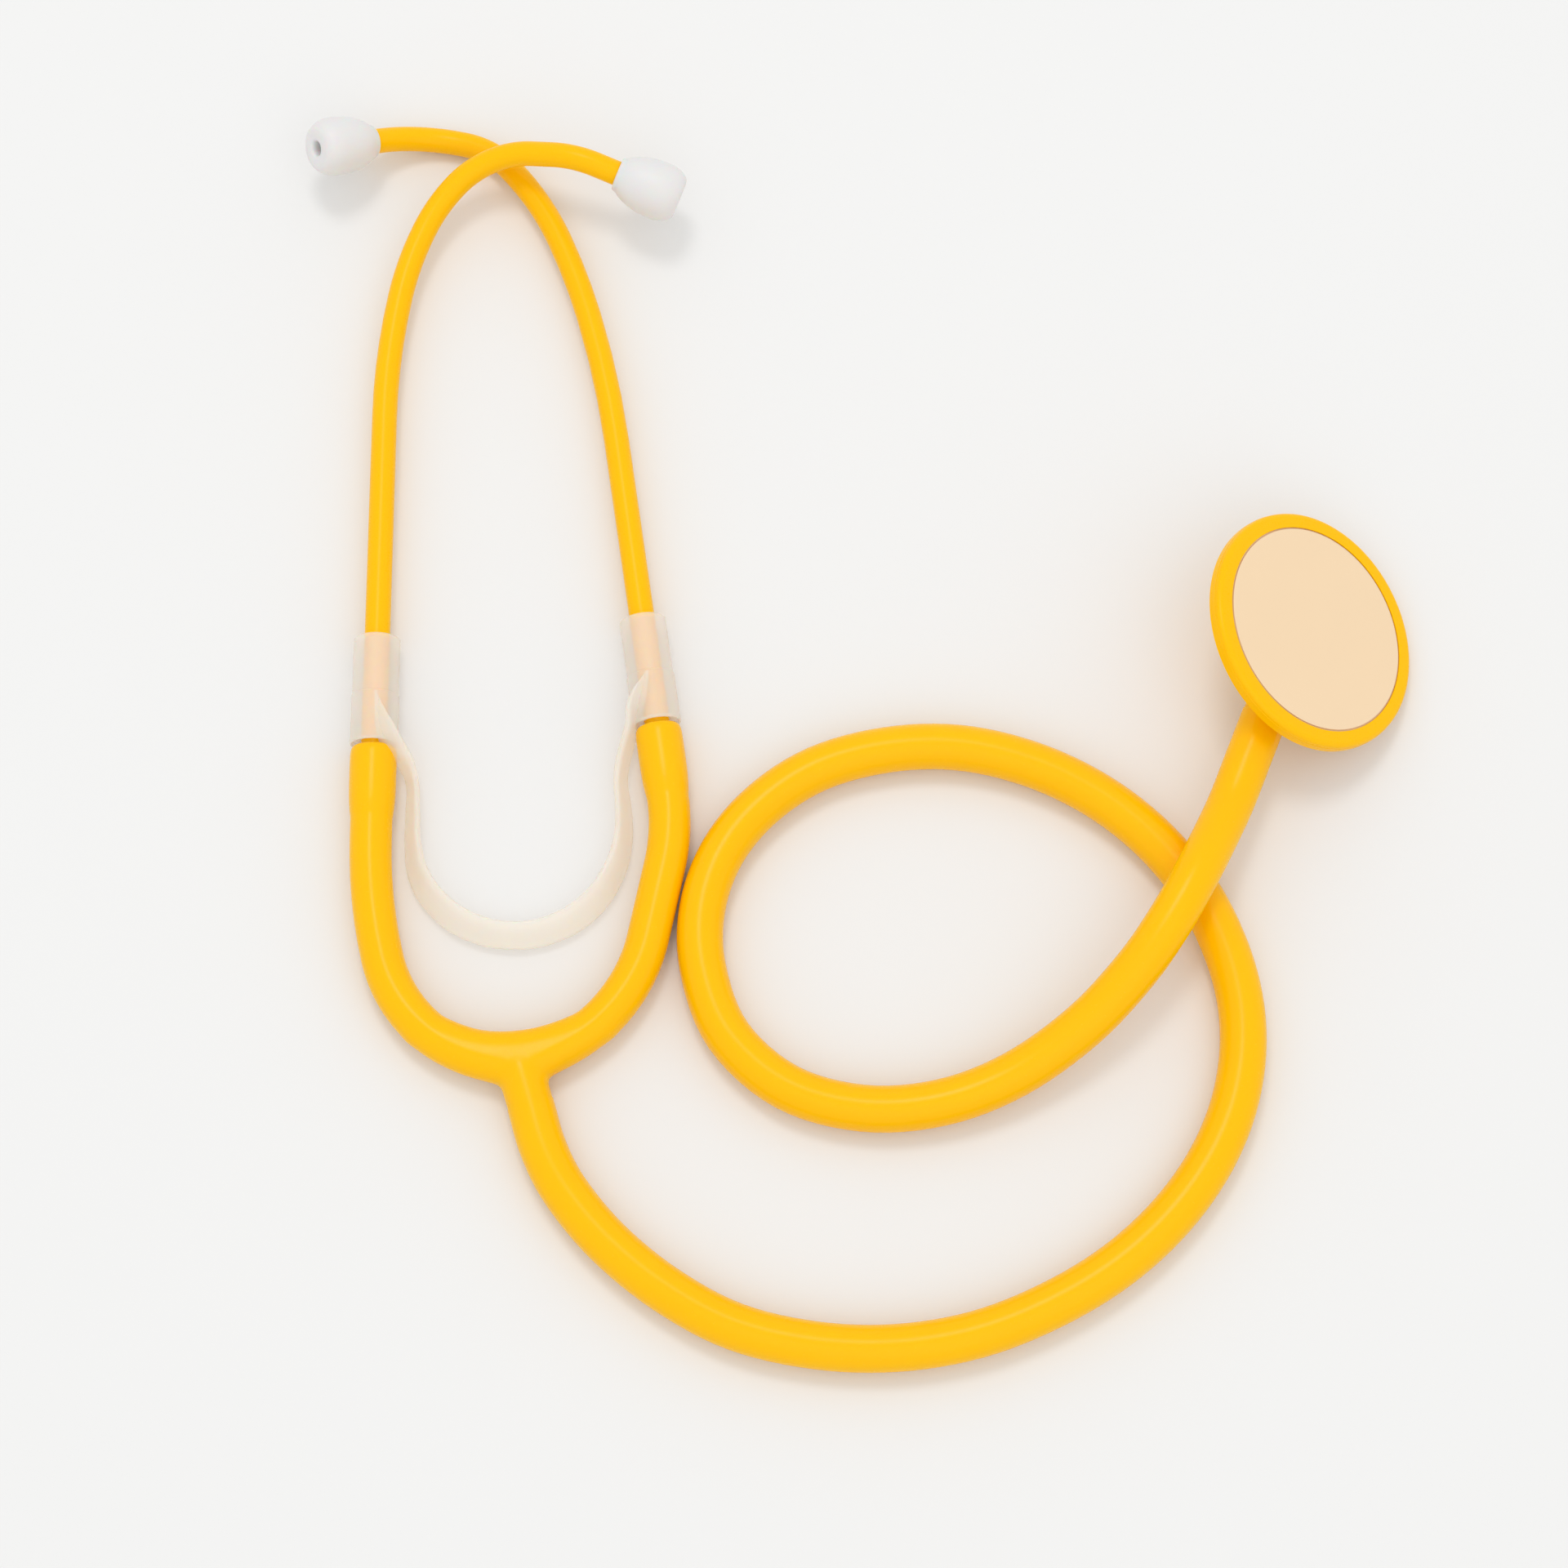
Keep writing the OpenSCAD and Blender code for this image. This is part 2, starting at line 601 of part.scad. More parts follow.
module barbed_stem() {
    pitch = stem_len / barb_count;
    rotate_extrude()
        polygon(concat(
            [[0, 0], [stem_d / 2, 0]],
            [for (k = [0 : barb_count - 1]) each [
                [stem_d / 2, pitch * (k + 1) - pitch / 2], [barb_d / 2, pitch * (k + 1) - pitch / 2],
                [stem_d / 2, pitch * (k + 1)]]],
            [[0, stem_len]]));
}

module chestpiece_body() {
    dish_r = thread_r - ring_wall / 2;
    color(yellow)
        at_head()
            difference() {
                union() {
                    rotate_extrude()
                        polygon([[0, -spigot_top], [thread_r - thread_gap, -spigot_top],
                                 [thread_r - thread_gap, -rim_top], [rim_r, -rim_top],
                                 [rim_r, -rim_bottom], [back_d / 2, -back_bottom], [0, -back_bottom]]);
                    along_stem() {
                        cylinder(d = boss_d, h = stem_reach - seat_gap);
                        sphere(d = boss_d);
                        translate([0, 0, stem_reach - seat_gap])
                            barbed_stem();
                    }
                }
                translate([0, 0, -spigot_top - dish_depth])
                    cylinder(r1 = sound_d / 2, r2 = dish_r, h = dish_depth);
                translate([0, 0, -spigot_top])
                    cylinder(r = dish_r, h = spigot_top);
                translate([0, 0, -stem_depth])
                    cylinder(d = sound_d, h = stem_depth);
                along_stem()
                    cylinder(d = sound_d, h = stem_reach + stem_len + overrun);
            }
}

module diaphragm() {
    color(film)
        at_head()
            translate([0, 0, -diaphragm_top - diaphragm_t])
                cylinder(r = thread_r - thread_gap, h = diaphragm_t);
}

// The ring's toothed outline in plan
function knurl_outline(r) = [
    for (k = [0 : 2 * knurl_count - 1])
        let (a = 180 * k / knurl_count, q = k % 2 == 0 ? r : r - knurl_depth)
            q * [cos(a), sin(a)]];

module retaining_ring() {
    crown = ring_h * ring_crown_share;
    plain_r = ring_r - 2 * knurl_depth;
    land_r = plain_r - crown;
    knurl_h = ring_h * (knurl_bottom_share - knurl_top_share);
    color(yellow)
        at_head()
            difference() {
                union() {
                    rotate_extrude()
                        polygon(concat(
                            [[face_r, 0]],
                            [for (a = [90 : -15 : 0])
                                [land_r + crown * cos(a), crown * (sin(a) - 1)]],
                            [[plain_r, -ring_h], [face_r, -ring_h]]));
                    translate([0, 0, -ring_h * knurl_bottom_share])
                        linear_extrude(knurl_h)
                            polygon(knurl_outline(ring_r));
                }
                translate([0, 0, -ring_h - overrun])
                    cylinder(r = face_r, h = ring_h + 2 * overrun);
                translate([0, 0, -ring_h - overrun])
                    cylinder(r = thread_r, h = ring_h + overrun - ring_lip);
            }
}

y_junction();
y_arm_left();
y_arm_right();
stem_tube();
spring_strap();
spring_sleeve_left();
spring_sleeve_right();
ear_tube_left();
ear_tube_right();
ear_tip_left();
ear_tip_right();
chestpiece_body();
diaphragm();
retaining_ring();
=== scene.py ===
"""Looks of a single-head stethoscope laid on a table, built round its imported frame.

Lengths in the tables below are millimetres in the frame of the part. MM turns them into metres.
"""

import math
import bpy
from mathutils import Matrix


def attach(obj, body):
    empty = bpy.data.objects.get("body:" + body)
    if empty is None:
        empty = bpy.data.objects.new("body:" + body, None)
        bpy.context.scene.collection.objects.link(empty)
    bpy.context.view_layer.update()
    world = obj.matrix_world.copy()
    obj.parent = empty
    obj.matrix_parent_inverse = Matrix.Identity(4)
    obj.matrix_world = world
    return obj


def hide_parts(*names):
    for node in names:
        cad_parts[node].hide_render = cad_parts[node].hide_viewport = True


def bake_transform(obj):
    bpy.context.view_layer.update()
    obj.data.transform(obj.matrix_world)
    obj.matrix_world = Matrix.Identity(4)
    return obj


bl_info = {
    "name": "Single-head stethoscope",
    "version": (1, 0, 0),
    "blender": (4, 5, 0),
    "location": "View3D > Sidebar > Stethoscope",
    "description": "Models and finishes the pieces of a moulded plastic stethoscope",
    "category": "Object",
}

import bpy
from mathutils import Matrix, Vector

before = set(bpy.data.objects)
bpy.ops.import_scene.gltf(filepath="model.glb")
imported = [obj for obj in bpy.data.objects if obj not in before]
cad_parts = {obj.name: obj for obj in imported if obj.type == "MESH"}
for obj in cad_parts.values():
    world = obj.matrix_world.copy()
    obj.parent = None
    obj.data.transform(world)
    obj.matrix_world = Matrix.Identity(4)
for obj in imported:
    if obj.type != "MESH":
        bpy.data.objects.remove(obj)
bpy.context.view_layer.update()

MM = 0.001
UP = Vector((0, 0, 1))


def linear(hex_colour):
    """sRGB hex value as linear red, green and blue."""
    parts = [int(hex_colour[i : i + 2], 16) / 255 for i in (0, 2, 4)]
    return [c / 12.92 if c <= 0.04045 else ((c + 0.055) / 1.055) ** 2.4 for c in parts]


# Sizes that the pieces share
AXIS_Z = 4.75
TUBE_SIDES = 40
WEB_SIDES = 32
TIP_SIDES = 56
SLEEVE_SIDES = 64
STEM_SIDES = 48
HEAD_SIDES = 128
RUNNING_GAP = 0.05
HOSE_GAP = 0.2

# Ear tubes: mouth of the arm, lean, roll in the sleeve, straight above the mouth, bends and toe
SOCKET_DEPTH = 12
LEFT_MOUTH = Vector((-92.5, -31.5, AXIS_Z))
RIGHT_MOUTH = Vector((-37.1, -27.2, AXIS_Z))
RIGHT_LEAN = 8.3
LEFT_ROLL = 17
RIGHT_ROLL = 5
TOE_RADIUS = 19.5
LEFT_EAR = {
    "straight": 70,
    "bends": [(130, 11.5), (58, 15), (32, 19.5), (18.5, 55)],
    "reach": 4.5,
    "toe_roll": 68,
    "toe_angle": 28,
    "tail": 4.5,
}
RIGHT_EAR = {
    "straight": 61,
    "bends": [(200, 8), (140, 7.5), (62.5, 18), (18.9, 33)],
    "reach": 0,
    "toe_roll": 47,
    "toe_angle": 53,
    "tail": 2.5,
}
TIP_SOCKET = 8.5

# Arms: straight below the socket and bends, then a short root before the fork
SOCKET_TAPER = 2.5
SOCKET_LIP_SHARES = [(-0.7, 0.3), (-0.3, 1), (0.12, 1.4), (0.33, 1.75)]
SOCKET_SHOULDER_SHARE = 0.75
SOCKET_SHOULDER = 0.06
SOCKET_SWELL = (1.5, 2)
SOCKET_SWELL_FALL = (0.05, 0.17)
SOCKET_TAPER_RISE = (-0.02, 0.06)
ROOT_RUN = 1.25
ROOT_OVERRUN = 5
LEFT_ARM = [("run", 4), ("bend", 100, 14), ("bend", 27.5, 61), ("run", ROOT_RUN)]
RIGHT_ARM = [("bend", 40, 20.3), ("run", 15), ("bend", 32, 50), ("run", ROOT_RUN)]
STUB_HEADING = 17
STUB_LEN = 7
STUB_OVERRUN = 3
STUB_LAP_SHARE = 1.5

# Fork: its rounded inner side leaves each arm some degrees before the arm's end and runs over a flat
WEB_LEFT_ANGLES = (34, 24)
WEB_FLAT = [Vector((-7.8, 3.6, 0)), Vector((3, 4, 0))]
WEB_RIGHT_ANGLES = (12, 22)
WEB_R = 4.05
FILL_REACH = (7.5, 5)
FILL_R = 4.1
CORNER_REACH = 3
CORNER_R = 2.2
FORK_SMOOTH_REACH = 14
FORK_SMOOTH_FADE = 8
FORK_SMOOTH_PASSES = 70
SKIN_SMOOTH_PASSES = 6
SKIN_VOXEL = 0.34

# Right arm: where it is parted from the fork
RIGHT_ARM_ROOT = 10

# Head: place and tilt of its face, and the stem
HEAD_PLACE = (91.1, -11)
HEAD_TILT = 33
HEAD_TILT_HEADING = 4
HEAD_SPIN = -112
RIM_BOTTOM = 4.52
RIM_RADIUS = 22.6
STEM_DEPTH = 7
STEM_LEAN = 14
STEM_REACH = 17
STEM_LEN = 16

# Route of the hose on the table, from the fork to the head
HOSE_ROUTE = [
    (-53.6, -119.8, 4.6), (-45.5, -129.5, 4.55), (-34.5, -138.5, 4.55), (-21.5, -145.5, 4.55),
    (-6.5, -149, 4.55), (8.5, -149.5, 4.55), (23.5, -147, 4.55), (37.5, -141.5, 4.55),
    (50, -134, 4.55), (60.5, -124.5, 4.55), (68.5, -113.5, 4.55), (73.5, -101.5, 4.55),
    (75.3, -88.5, 4.55), (73.5, -75.5, 4.55), (68, -62, 4.55), (59.5, -50.5, 4.55),
    (48.5, -41.3, 4.55), (35.5, -34.8, 4.55), (21.5, -31.5, 4.55), (7.5, -32, 4.55),
    (-6, -35.9, 4.55), (-16.8, -43.3, 4.55), (-24.4, -53, 4.55), (-28.2, -64.5, 4.55),
    (-27.9, -76.5, 4.55), (-23, -89.5, 4.55), (-12, -99.5, 4.55), (2.5, -103.7, 4.6),
    (17.5, -102.7, 5), (31.5, -97.5, 6.3), (44.5, -88.7, 9.2), (54.5, -78.5, 12.4),
    (61.4, -68.8, 14.1), (66.6, -59.6, 14.1), (71, -50.8, 11.6),
]

# Edges below are rows of height and radius, counted from the end and the wall that they round off

# Ear tips: length, radius at the foot and what the belly adds, and the sound hole
TIP_LEN = 13.6
TIP_BASE_R = 3.6
TIP_SWELL = 2.3
TIP_HOLE_R = 1.45
TIP_FOOT_SHARE = 0.07
TIP_WIDEST_SHARE = 0.68
TIP_NOSE_SHARE = 0.58
TIP_MOUTH_EDGE = [(0.35, 0), (0.05, 0.15), (0, 0.4)]
TIP_FOOT_EDGE = [(0, -0.6), (0.1, -0.3), (0.35, -0.1)]
TIP_HOLE_EDGE = [(0, 0.6), (-0.08, 0.3), (-0.35, 0.08), (-0.9, 0)]

# Sleeves of the spring: the lower band stands a little proud
SLEEVE_LIFT = 1
SLEEVE_LEN = 21.5
SLEEVE_R = AXIS_Z
SLEEVE_BAND = 9.4
SLEEVE_FOOT_BORE_EDGE = [(0.5, 0), (0.15, 0.1), (0.05, 0.45), (0.25, 0.9)]
SLEEVE_FOOT_LIP = [(0.25, -0.75), (-0.45, -0.5), (-0.6, -0.3), (-0.55, -0.1), (-0.3, 0), (0.3, 0)]
SLEEVE_WAIST = [(1, -0.06), (2.5, -0.04)]
SLEEVE_BAND_EDGE = [(-0.25, 0), (0, -0.05), (0.12, -0.2), (0.5, -0.22)]
SLEEVE_TOP_EDGE = [(-1.2, -0.15), (-0.4, -0.2), (-0.1, -0.45), (0, -0.85)]
SLEEVE_TOP_BORE_EDGE = [(0, 0.35), (-0.15, 0.1), (-0.5, 0)]

# Strap between the sleeves: shares of the sleeves' distance, of the drop and of the axis height, and roll
STRAP_WIDTH = 5.6
STRAP_THICK = 1.6
STRAP_DROP = 38.5
STRAP_SHARES = [
    (0.134, 0.182, 0.94, 70), (0.143, 0.364, 0.86, 62), (0.147, 0.545, 0.76, 56), (0.172, 0.7, 0.66, 48),
    (0.241, 0.844, 0.58, 34), (0.355, 0.956, 0.52, 20), (0.504, 1, 0.5, 14), (0.65, 0.961, 0.52, 20),
    (0.774, 0.842, 0.58, 34), (0.85, 0.68, 0.66, 48), (0.884, 0.506, 0.76, 56), (0.884, 0.338, 0.86, 62),
    (0.874, 0.182, 0.94, 70),
]
STRAP_SIDE_SHARE = 0.93
STRAP_FULL_DROP_SHARE = 0.65
STRAP_ROUND_SHARE = 0.92

# Strap's roots on the sleeves: angle up from the inner side, height over the foot, share of the width
LEFT_STRAP_ROOT = [(84, 9.2, 0.08), (78, 7, 0.22), (70, 4.5, 0.45), (60, 2, 0.72), (48, -0.2, 0.9)]
RIGHT_STRAP_ROOT = [(84, 9.2, 0.1), (72, 7.4, 0.3), (54, 5, 0.6), (34, 2.4, 0.85), (18, 0, 0.93)]
ROOT_STAND = 0.25
ROOT_SINK_SHARE = 0.07

# Head: rows of height over the face and radius, and the boss with its barbed stem
CUP_ROWS = [
    (-3.6, 0), (-3.6, 1.6), (-2.7, 12), (-1.9, 19.6), (-1.05, 20.2), (-0.92, 20.4), (-0.9, 20.7),
    (-0.9, 21.5), (-1, 21.66), (-3.32, 21.68), (-3.32, 22.1), (-3.4, 22.4), (-3.6, 22.57), (-3.9, 22.6),
    (-4.15, 22.55), (-4.4, 22.35), (-4.52, 22), (-4.8, 20), (-5.4, 15.6), (-6.1, 11.5), (-6.5, 9.6),
    (-6.67, 8.8), (-6.72, 8.2), (-6.72, 0),
]
BOSS_R = 4.3
BOSS_EDGE = [(-0.7, 0), (-0.25, -0.12), (0, -0.5)]
STEM_R = 2.4
STEM_BORE_R = 1.6
STEM_BORE_FLOOR = 2
BARBS = 3
BARB_EDGE = [(0, 0), (0.05, 0.35), (0.3, 0.4)]
FILM_ROWS = [
    (-0.03, 0), (-0.035, 8), (-0.045, 15), (-0.05, 20.6), (-0.44, 20.61), (-0.45, 21.5), (-0.5, 21.66),
    (-0.8, 21.66), (-0.85, 21.5), (-0.83, 0),
]

# Ring: inner lip, rounded crown, knurled band, and the back with the thread's wall
RING_LIP_ROWS = [(-0.4, 20.8), (-0.32, 20.64), (-0.1, 20.6), (-0.02, 20.63), (0, 20.75), (-0.01, 21.6)]
RING_R = 23.7
CROWN_WIDTH = 1.2
CROWN_HEIGHT = 1.05
CROWN_DROP = 0.04
KNURL_TOP = -1.36
KNURL_BOTTOM = -2.74
KNURL_SLOPE = 0.05
KNURL_R = 23.78
KNURL_TOOTH = 0.38
RING_BACK_EDGE = [(-3.08, 0), (-3.2, -0.15)]
RING_THREAD_ROWS = [(-3.2, 21.95), (-3.1, 21.8), (-0.45, 21.8), (-0.4, 21.7)]

# Stage, in metres and watts: the camera, the table and the lamps as name, place, size and power
CAMERA_AIM = Vector((-12.4, -37.5, 0)) * MM
CAMERA_STAND = Vector((-12.4, -284.7, 760.8)) * MM
CAMERA_SENSOR_MM = 36
CAMERA_LENS_MM = 93.75
CAMERA_CLIP = 0.01
FLOOR_SIZE = 6
LAMPS = [
    ("window", (-0.15, 0.5, 1.5), 0.4, 4),
    ("fill", (0.3, -0.9, 1.4), 1.6, 3.2),
]
ROOM_COLOUR = linear("FBFBFB")
ROOM_STRENGTH = 0.93


# ways along the pieces: a point, the direction on, and the side that the next bend turns to


def past_run(f, length):
    return (f[0] + length * f[1], f[1], f[2])


def past_bend(f, radius, degrees):
    c, s = math.cos(math.radians(degrees)), math.sin(math.radians(degrees))
    return (f[0] + radius * ((1 - c) * f[2] + s * f[1]), c * f[1] + s * f[2], c * f[2] - s * f[1])


def past_roll(f, degrees):
    c, s = math.cos(math.radians(degrees)), math.sin(math.radians(degrees))
    return (f[0], f[1], c * f[2] + s * f[1].cross(f[2]))


def past_steps(f, steps):
    for kind, *sizes in steps:
        f = {"run": past_run, "bend": past_bend, "roll": past_roll}[kind](f, *sizes)
    return f


def ear_steps(ear):
    """The steps of an ear tube from the arm's mouth to the ear tip."""
    return (
        [("run", ear["straight"])]
        + [("bend", r, a) for r, a in ear["bends"]]
        + [("run", ear["reach"]), ("roll", ear["toe_roll"]), ("bend", TOE_RADIUS, ear["toe_angle"])]
        + [("run", ear["tail"])]
    )


def lean_ways(degrees):
    """Direction up a leaning tube in plan, and the direction to its left."""
    a = math.radians(degrees)
    return Vector((-math.sin(a), math.cos(a), 0)), Vector((-math.cos(a), -math.sin(a), 0))


def mouth_frames():
    """Frames at the two arms' mouths, looking up the ear tubes."""
    a, b = math.radians(LEFT_ROLL), math.radians(RIGHT_ROLL)
    up, left = lean_ways(RIGHT_LEAN)
    return (
        (LEFT_MOUTH, Vector((0, 1, 0)), Vector((math.cos(a), 0, math.sin(a)))),
        (RIGHT_MOUTH, up, math.cos(b) * left - math.sin(b) * UP),
    )


def arm_frames():
    """Frames at the two arms' mouths, looking down the arms."""
    up, left = lean_ways(RIGHT_LEAN)
    return (
        (LEFT_MOUTH, Vector((0, -1, 0)), Vector((1, 0, 0))),
        (RIGHT_MOUTH, -up, left),
    )


def arm_roots():
    """Frames where the two arms run into the fork."""
    socket = ("run", SOCKET_DEPTH + SOCKET_TAPER)
    left, right = arm_frames()
    return past_steps(left, [socket] + LEFT_ARM), past_steps(right, [socket] + RIGHT_ARM)


def arm_place(f, steps, short):
    """A place on an arm's middle line, some degrees before its last bend ends."""
    *lead, (_, radius, angle), _ = steps
    socket = ("run", SOCKET_DEPTH + SOCKET_TAPER)
    return past_steps(f, [socket] + lead + [("bend", radius, angle - short)])[0]


def fork_place():
    """The fork's middle, the way out of its stub, and the stub's end."""
    (p, u, _), (q, v, _) = arm_roots()
    across = q - p
    k = (across.x * v.y - across.y * v.x) / (u.x * v.y - u.y * v.x)
    a = math.radians(STUB_HEADING)
    out = Vector((math.sin(a), -math.cos(a), 0))
    return p + k * u, out, p + k * u + STUB_LEN * out


def head_matrix():
    """Turns the head's own frame, with its face at Z = 0, into the part's frame."""
    tilt = math.radians(HEAD_TILT)
    low = RIM_BOTTOM * math.cos(tilt) + RIM_RADIUS * math.sin(tilt)
    return (
        Matrix.Translation(Vector((*HEAD_PLACE, low)) * MM)
        @ Matrix.Rotation(math.radians(HEAD_TILT_HEADING), 4, "Z")
        @ Matrix.Rotation(tilt, 4, "Y")
        @ Matrix.Rotation(math.radians(HEAD_SPIN), 4, "Z")
    )


def stem_matrix():
    """Turns a frame with +Z out along the stem into the part's frame."""
    return (
        head_matrix()
        @ Matrix.Translation((0, 0, -STEM_DEPTH * MM))
        @ Matrix.Rotation(math.radians(90 + STEM_LEAN), 4, "Y")
    )


def frame_matrix(f):
    """Turns a frame with +Z along a way into the part's frame."""
    m = Matrix((f[2], f[1].cross(f[2]), f[1])).transposed().to_4x4()
    return Matrix.Translation(f[0] * MM) @ m


def curve_points(points, steps):
    """One smooth curve through points, with a number of steps between each two."""
    p = [Vector(q) for q in points]
    p = [2 * p[0] - p[1]] + p + [2 * p[-1] - p[-2]]
    out = []
    for i in range(1, len(p) - 2):
        a, b, c, d = p[i - 1 : i + 3]
        for k in range(steps):
            t = k / steps
            square = 2 * a - 5 * b + 4 * c - d
            cubic = 3 * b - a - 3 * c + d
            out.append((2 * b + (c - a) * t + square * t**2 + cubic * t**3) / 2)
    return out + [p[-2]]


# modelling by operators


def put_down():
    """Leaves edit mode and deselects everything."""
    if bpy.context.mode != "OBJECT":
        bpy.ops.object.mode_set(mode="OBJECT")
    bpy.ops.object.select_all(action="DESELECT")


def pick(*objs):
    put_down()
    for o in objs:
        o.select_set(True)
    bpy.context.view_layer.objects.active = objs[0]
    return objs[0]


def start_ring(name, matrix, radius, sides):
    """A ring of edges of one radius round a frame's Z, in edit mode."""
    put_down()
    bpy.ops.mesh.primitive_circle_add(vertices=sides, radius=radius * MM)
    o = bpy.context.active_object
    o.name = name
    o.data.name = name
    o.matrix_world = matrix
    bpy.ops.object.transform_apply(location=True, rotation=True, scale=True)
    bpy.ops.object.mode_set(mode="EDIT")
    bpy.ops.mesh.select_all(action="SELECT")
    return o


def next_ring(step, scale, centre):
    bpy.ops.mesh.extrude_region_move(TRANSFORM_OT_translate={"value": step * MM})
    if scale != 1:
        bpy.ops.transform.resize(value=(scale, scale, scale), center_override=centre * MM)


def tidy_mesh(o, smooth_angle=35):
    """Merges doubles, turns the faces outwards and shades the piece smooth."""
    pick(o)
    bpy.ops.object.mode_set(mode="EDIT")
    bpy.ops.mesh.select_all(action="SELECT")
    bpy.ops.mesh.remove_doubles(threshold=1e-6)
    bpy.ops.mesh.normals_make_consistent(inside=False)
    bpy.ops.object.mode_set(mode="OBJECT")
    bpy.ops.object.shade_smooth_by_angle(angle=math.radians(smooth_angle))
    return o


def apply_modifier(o, kind, **settings):
    pick(o)
    m = o.modifiers.new(kind.title(), kind)
    for key, value in settings.items():
        setattr(m, key, value)
    bpy.ops.object.modifier_apply(modifier=m.name)


def bent_tube(name, f, radius, steps, sides=TUBE_SIDES):
    """A swept tube wall: straight runs are extruded and bends are spun. A grow step changes the radius."""
    o = start_ring(name, frame_matrix(f), radius, sides)
    for kind, *sizes in steps:
        if kind == "run":
            g = past_run(f, sizes[0])
            if sizes[0]:
                next_ring(g[0] - f[0], 1, g[0])
            f = g
        elif kind == "grow":
            g = past_run(f, sizes[0])
            next_ring(g[0] - f[0], sizes[1] / radius, g[0])
            radius = sizes[1]
            f = g
        elif kind == "bend":
            r, a = sizes
            bpy.ops.mesh.spin(
                steps=max(2, round(a / 2.5)),
                angle=math.radians(a),
                center=(f[0] + r * f[2]) * MM,
                axis=f[2].cross(f[1]),
            )
            f = past_bend(f, r, a)
        else:
            f = past_roll(f, *sizes)
    put_down()
    ends = [v.co / MM for v in o.data.vertices if v.select]
    if (sum(ends, Vector()) / len(ends) - f[0]).length > 0.05:
        raise RuntimeError(name + " doesn't end where its steps lead")
    return o


def turned(name, rows, matrix, sides):
    """A piece turned on a lathe: rows of height and radius. A radius of 0 closes the end on the axis."""
    height, radius = rows[0]
    o = start_ring(name, Matrix.Translation((0, 0, height * MM)), max(radius, 1e-3), sides)
    for z, r in rows[1:]:
        next_ring(Vector((0, 0, z - height)), max(r, 1e-3) / max(radius, 1e-3), Vector((0, 0, z)))
        height, radius = z, r
    put_down()
    pick(o)
    bpy.ops.object.mode_set(mode="EDIT")
    bpy.ops.mesh.select_all(action="SELECT")
    bpy.ops.mesh.remove_doubles(threshold=3e-6)
    put_down()
    pick(o)
    o.matrix_world = matrix
    bpy.ops.object.transform_apply(location=True, rotation=True, scale=True)
    return o


def line_tube(name, points, radius):
    """A round curve of one thickness through points."""
    line = bpy.data.curves.new(name, "CURVE")
    line.dimensions = "3D"
    line.bevel_depth = radius * MM
    line.bevel_resolution = 8
    line.use_fill_caps = True
    spline = line.splines.new("POLY")
    spline.points.add(len(points) - 1)
    for p, q in zip(spline.points, points):
        p.co = (*(q * MM), 1)
    spline.use_smooth = True
    o = bpy.data.objects.new(name, line)
    bpy.context.collection.objects.link(o)
    return o


def edge(rows, height, radius):
    """The rows of an edge, put at a height and a radius."""
    return [(height + h, radius + r) for h, r in rows]


def close_ends(o):
    """Fills the open rings of a tube."""
    pick(o)
    bpy.ops.object.mode_set(mode="EDIT")
    bpy.ops.mesh.select_all(action="DESELECT")
    bpy.ops.mesh.select_non_manifold()
    bpy.ops.mesh.fill_holes(sides=0)
    put_down()
    return tidy_mesh(o)


def place_copy(model, name, matrix):
    """A copy of a piece with its own mesh, put in its place."""
    pick(model)
    bpy.ops.object.duplicate(linked=False)
    o = bpy.context.active_object
    o.name = name
    o.data.name = name
    o.matrix_world = matrix
    bpy.ops.object.transform_apply(location=True, rotation=True, scale=True)
    return o


def finish_piece(o, body, slot, material, *nodes):
    o.data.materials.clear()
    o.data.materials.append(material)
    if body:
        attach(o, body)
    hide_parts(*nodes)
    return o


# materials


def add_node(tree, kind, links=(), **settings):
    """Adds a node, sets its values and links other nodes' outputs to its inputs."""
    node = tree.nodes.new(kind)
    for key, value in settings.items():
        if key.startswith("in_"):
            node.inputs[key[3:].replace("_", " ")].default_value = value
        else:
            setattr(node, key, value)
    for source, output, target in links:
        tree.links.new(source.outputs[output], node.inputs[target])
    return node


def plastic(name, colour, shade_share, roughness, grain_mm, bump, **shader):
    """A moulded plastic: a little unevenness of colour and gloss, and a fine moulded grain."""
    cloud_mm, relief_mm, duller, glossier = 22, 0.05, 0.08, 0.06
    m = bpy.data.materials.get(name)
    if m:
        return m
    m = bpy.data.materials.new(name)
    m.use_nodes = True
    t = m.node_tree
    t.nodes.clear()
    place = add_node(t, "ShaderNodeTexCoord")
    cloud = add_node(
        t,
        "ShaderNodeTexNoise",
        [(place, "Object", "Vector")],
        in_Scale=1 / (cloud_mm * MM),
        in_Detail=3.0,
    )
    tint = add_node(t, "ShaderNodeMix", [(cloud, "Fac", "Factor")], data_type="RGBA")
    tint.inputs["A"].default_value = (*(c * shade_share for c in colour), 1)
    tint.inputs["B"].default_value = (*colour, 1)
    grain = add_node(
        t,
        "ShaderNodeTexNoise",
        [(place, "Object", "Vector")],
        in_Scale=1 / (grain_mm * MM),
        in_Detail=4.0,
    )
    gloss = add_node(t, "ShaderNodeMapRange", [(grain, "Fac", "Value")])
    gloss.inputs["To Min"].default_value = roughness - glossier
    gloss.inputs["To Max"].default_value = roughness + duller
    relief = add_node(
        t,
        "ShaderNodeBump",
        [(grain, "Fac", "Height")],
        in_Strength=bump,
        in_Distance=relief_mm * MM,
    )
    body = add_node(
        t,
        "ShaderNodeBsdfPrincipled",
        [(gloss, "Result", "Roughness"), (relief, "Normal", "Normal")],
        **shader,
    )
    t.links.new(tint.outputs["Result"], body.inputs["Base Color"])
    add_node(t, "ShaderNodeOutputMaterial", [(body, "BSDF", "Surface")])
    return m


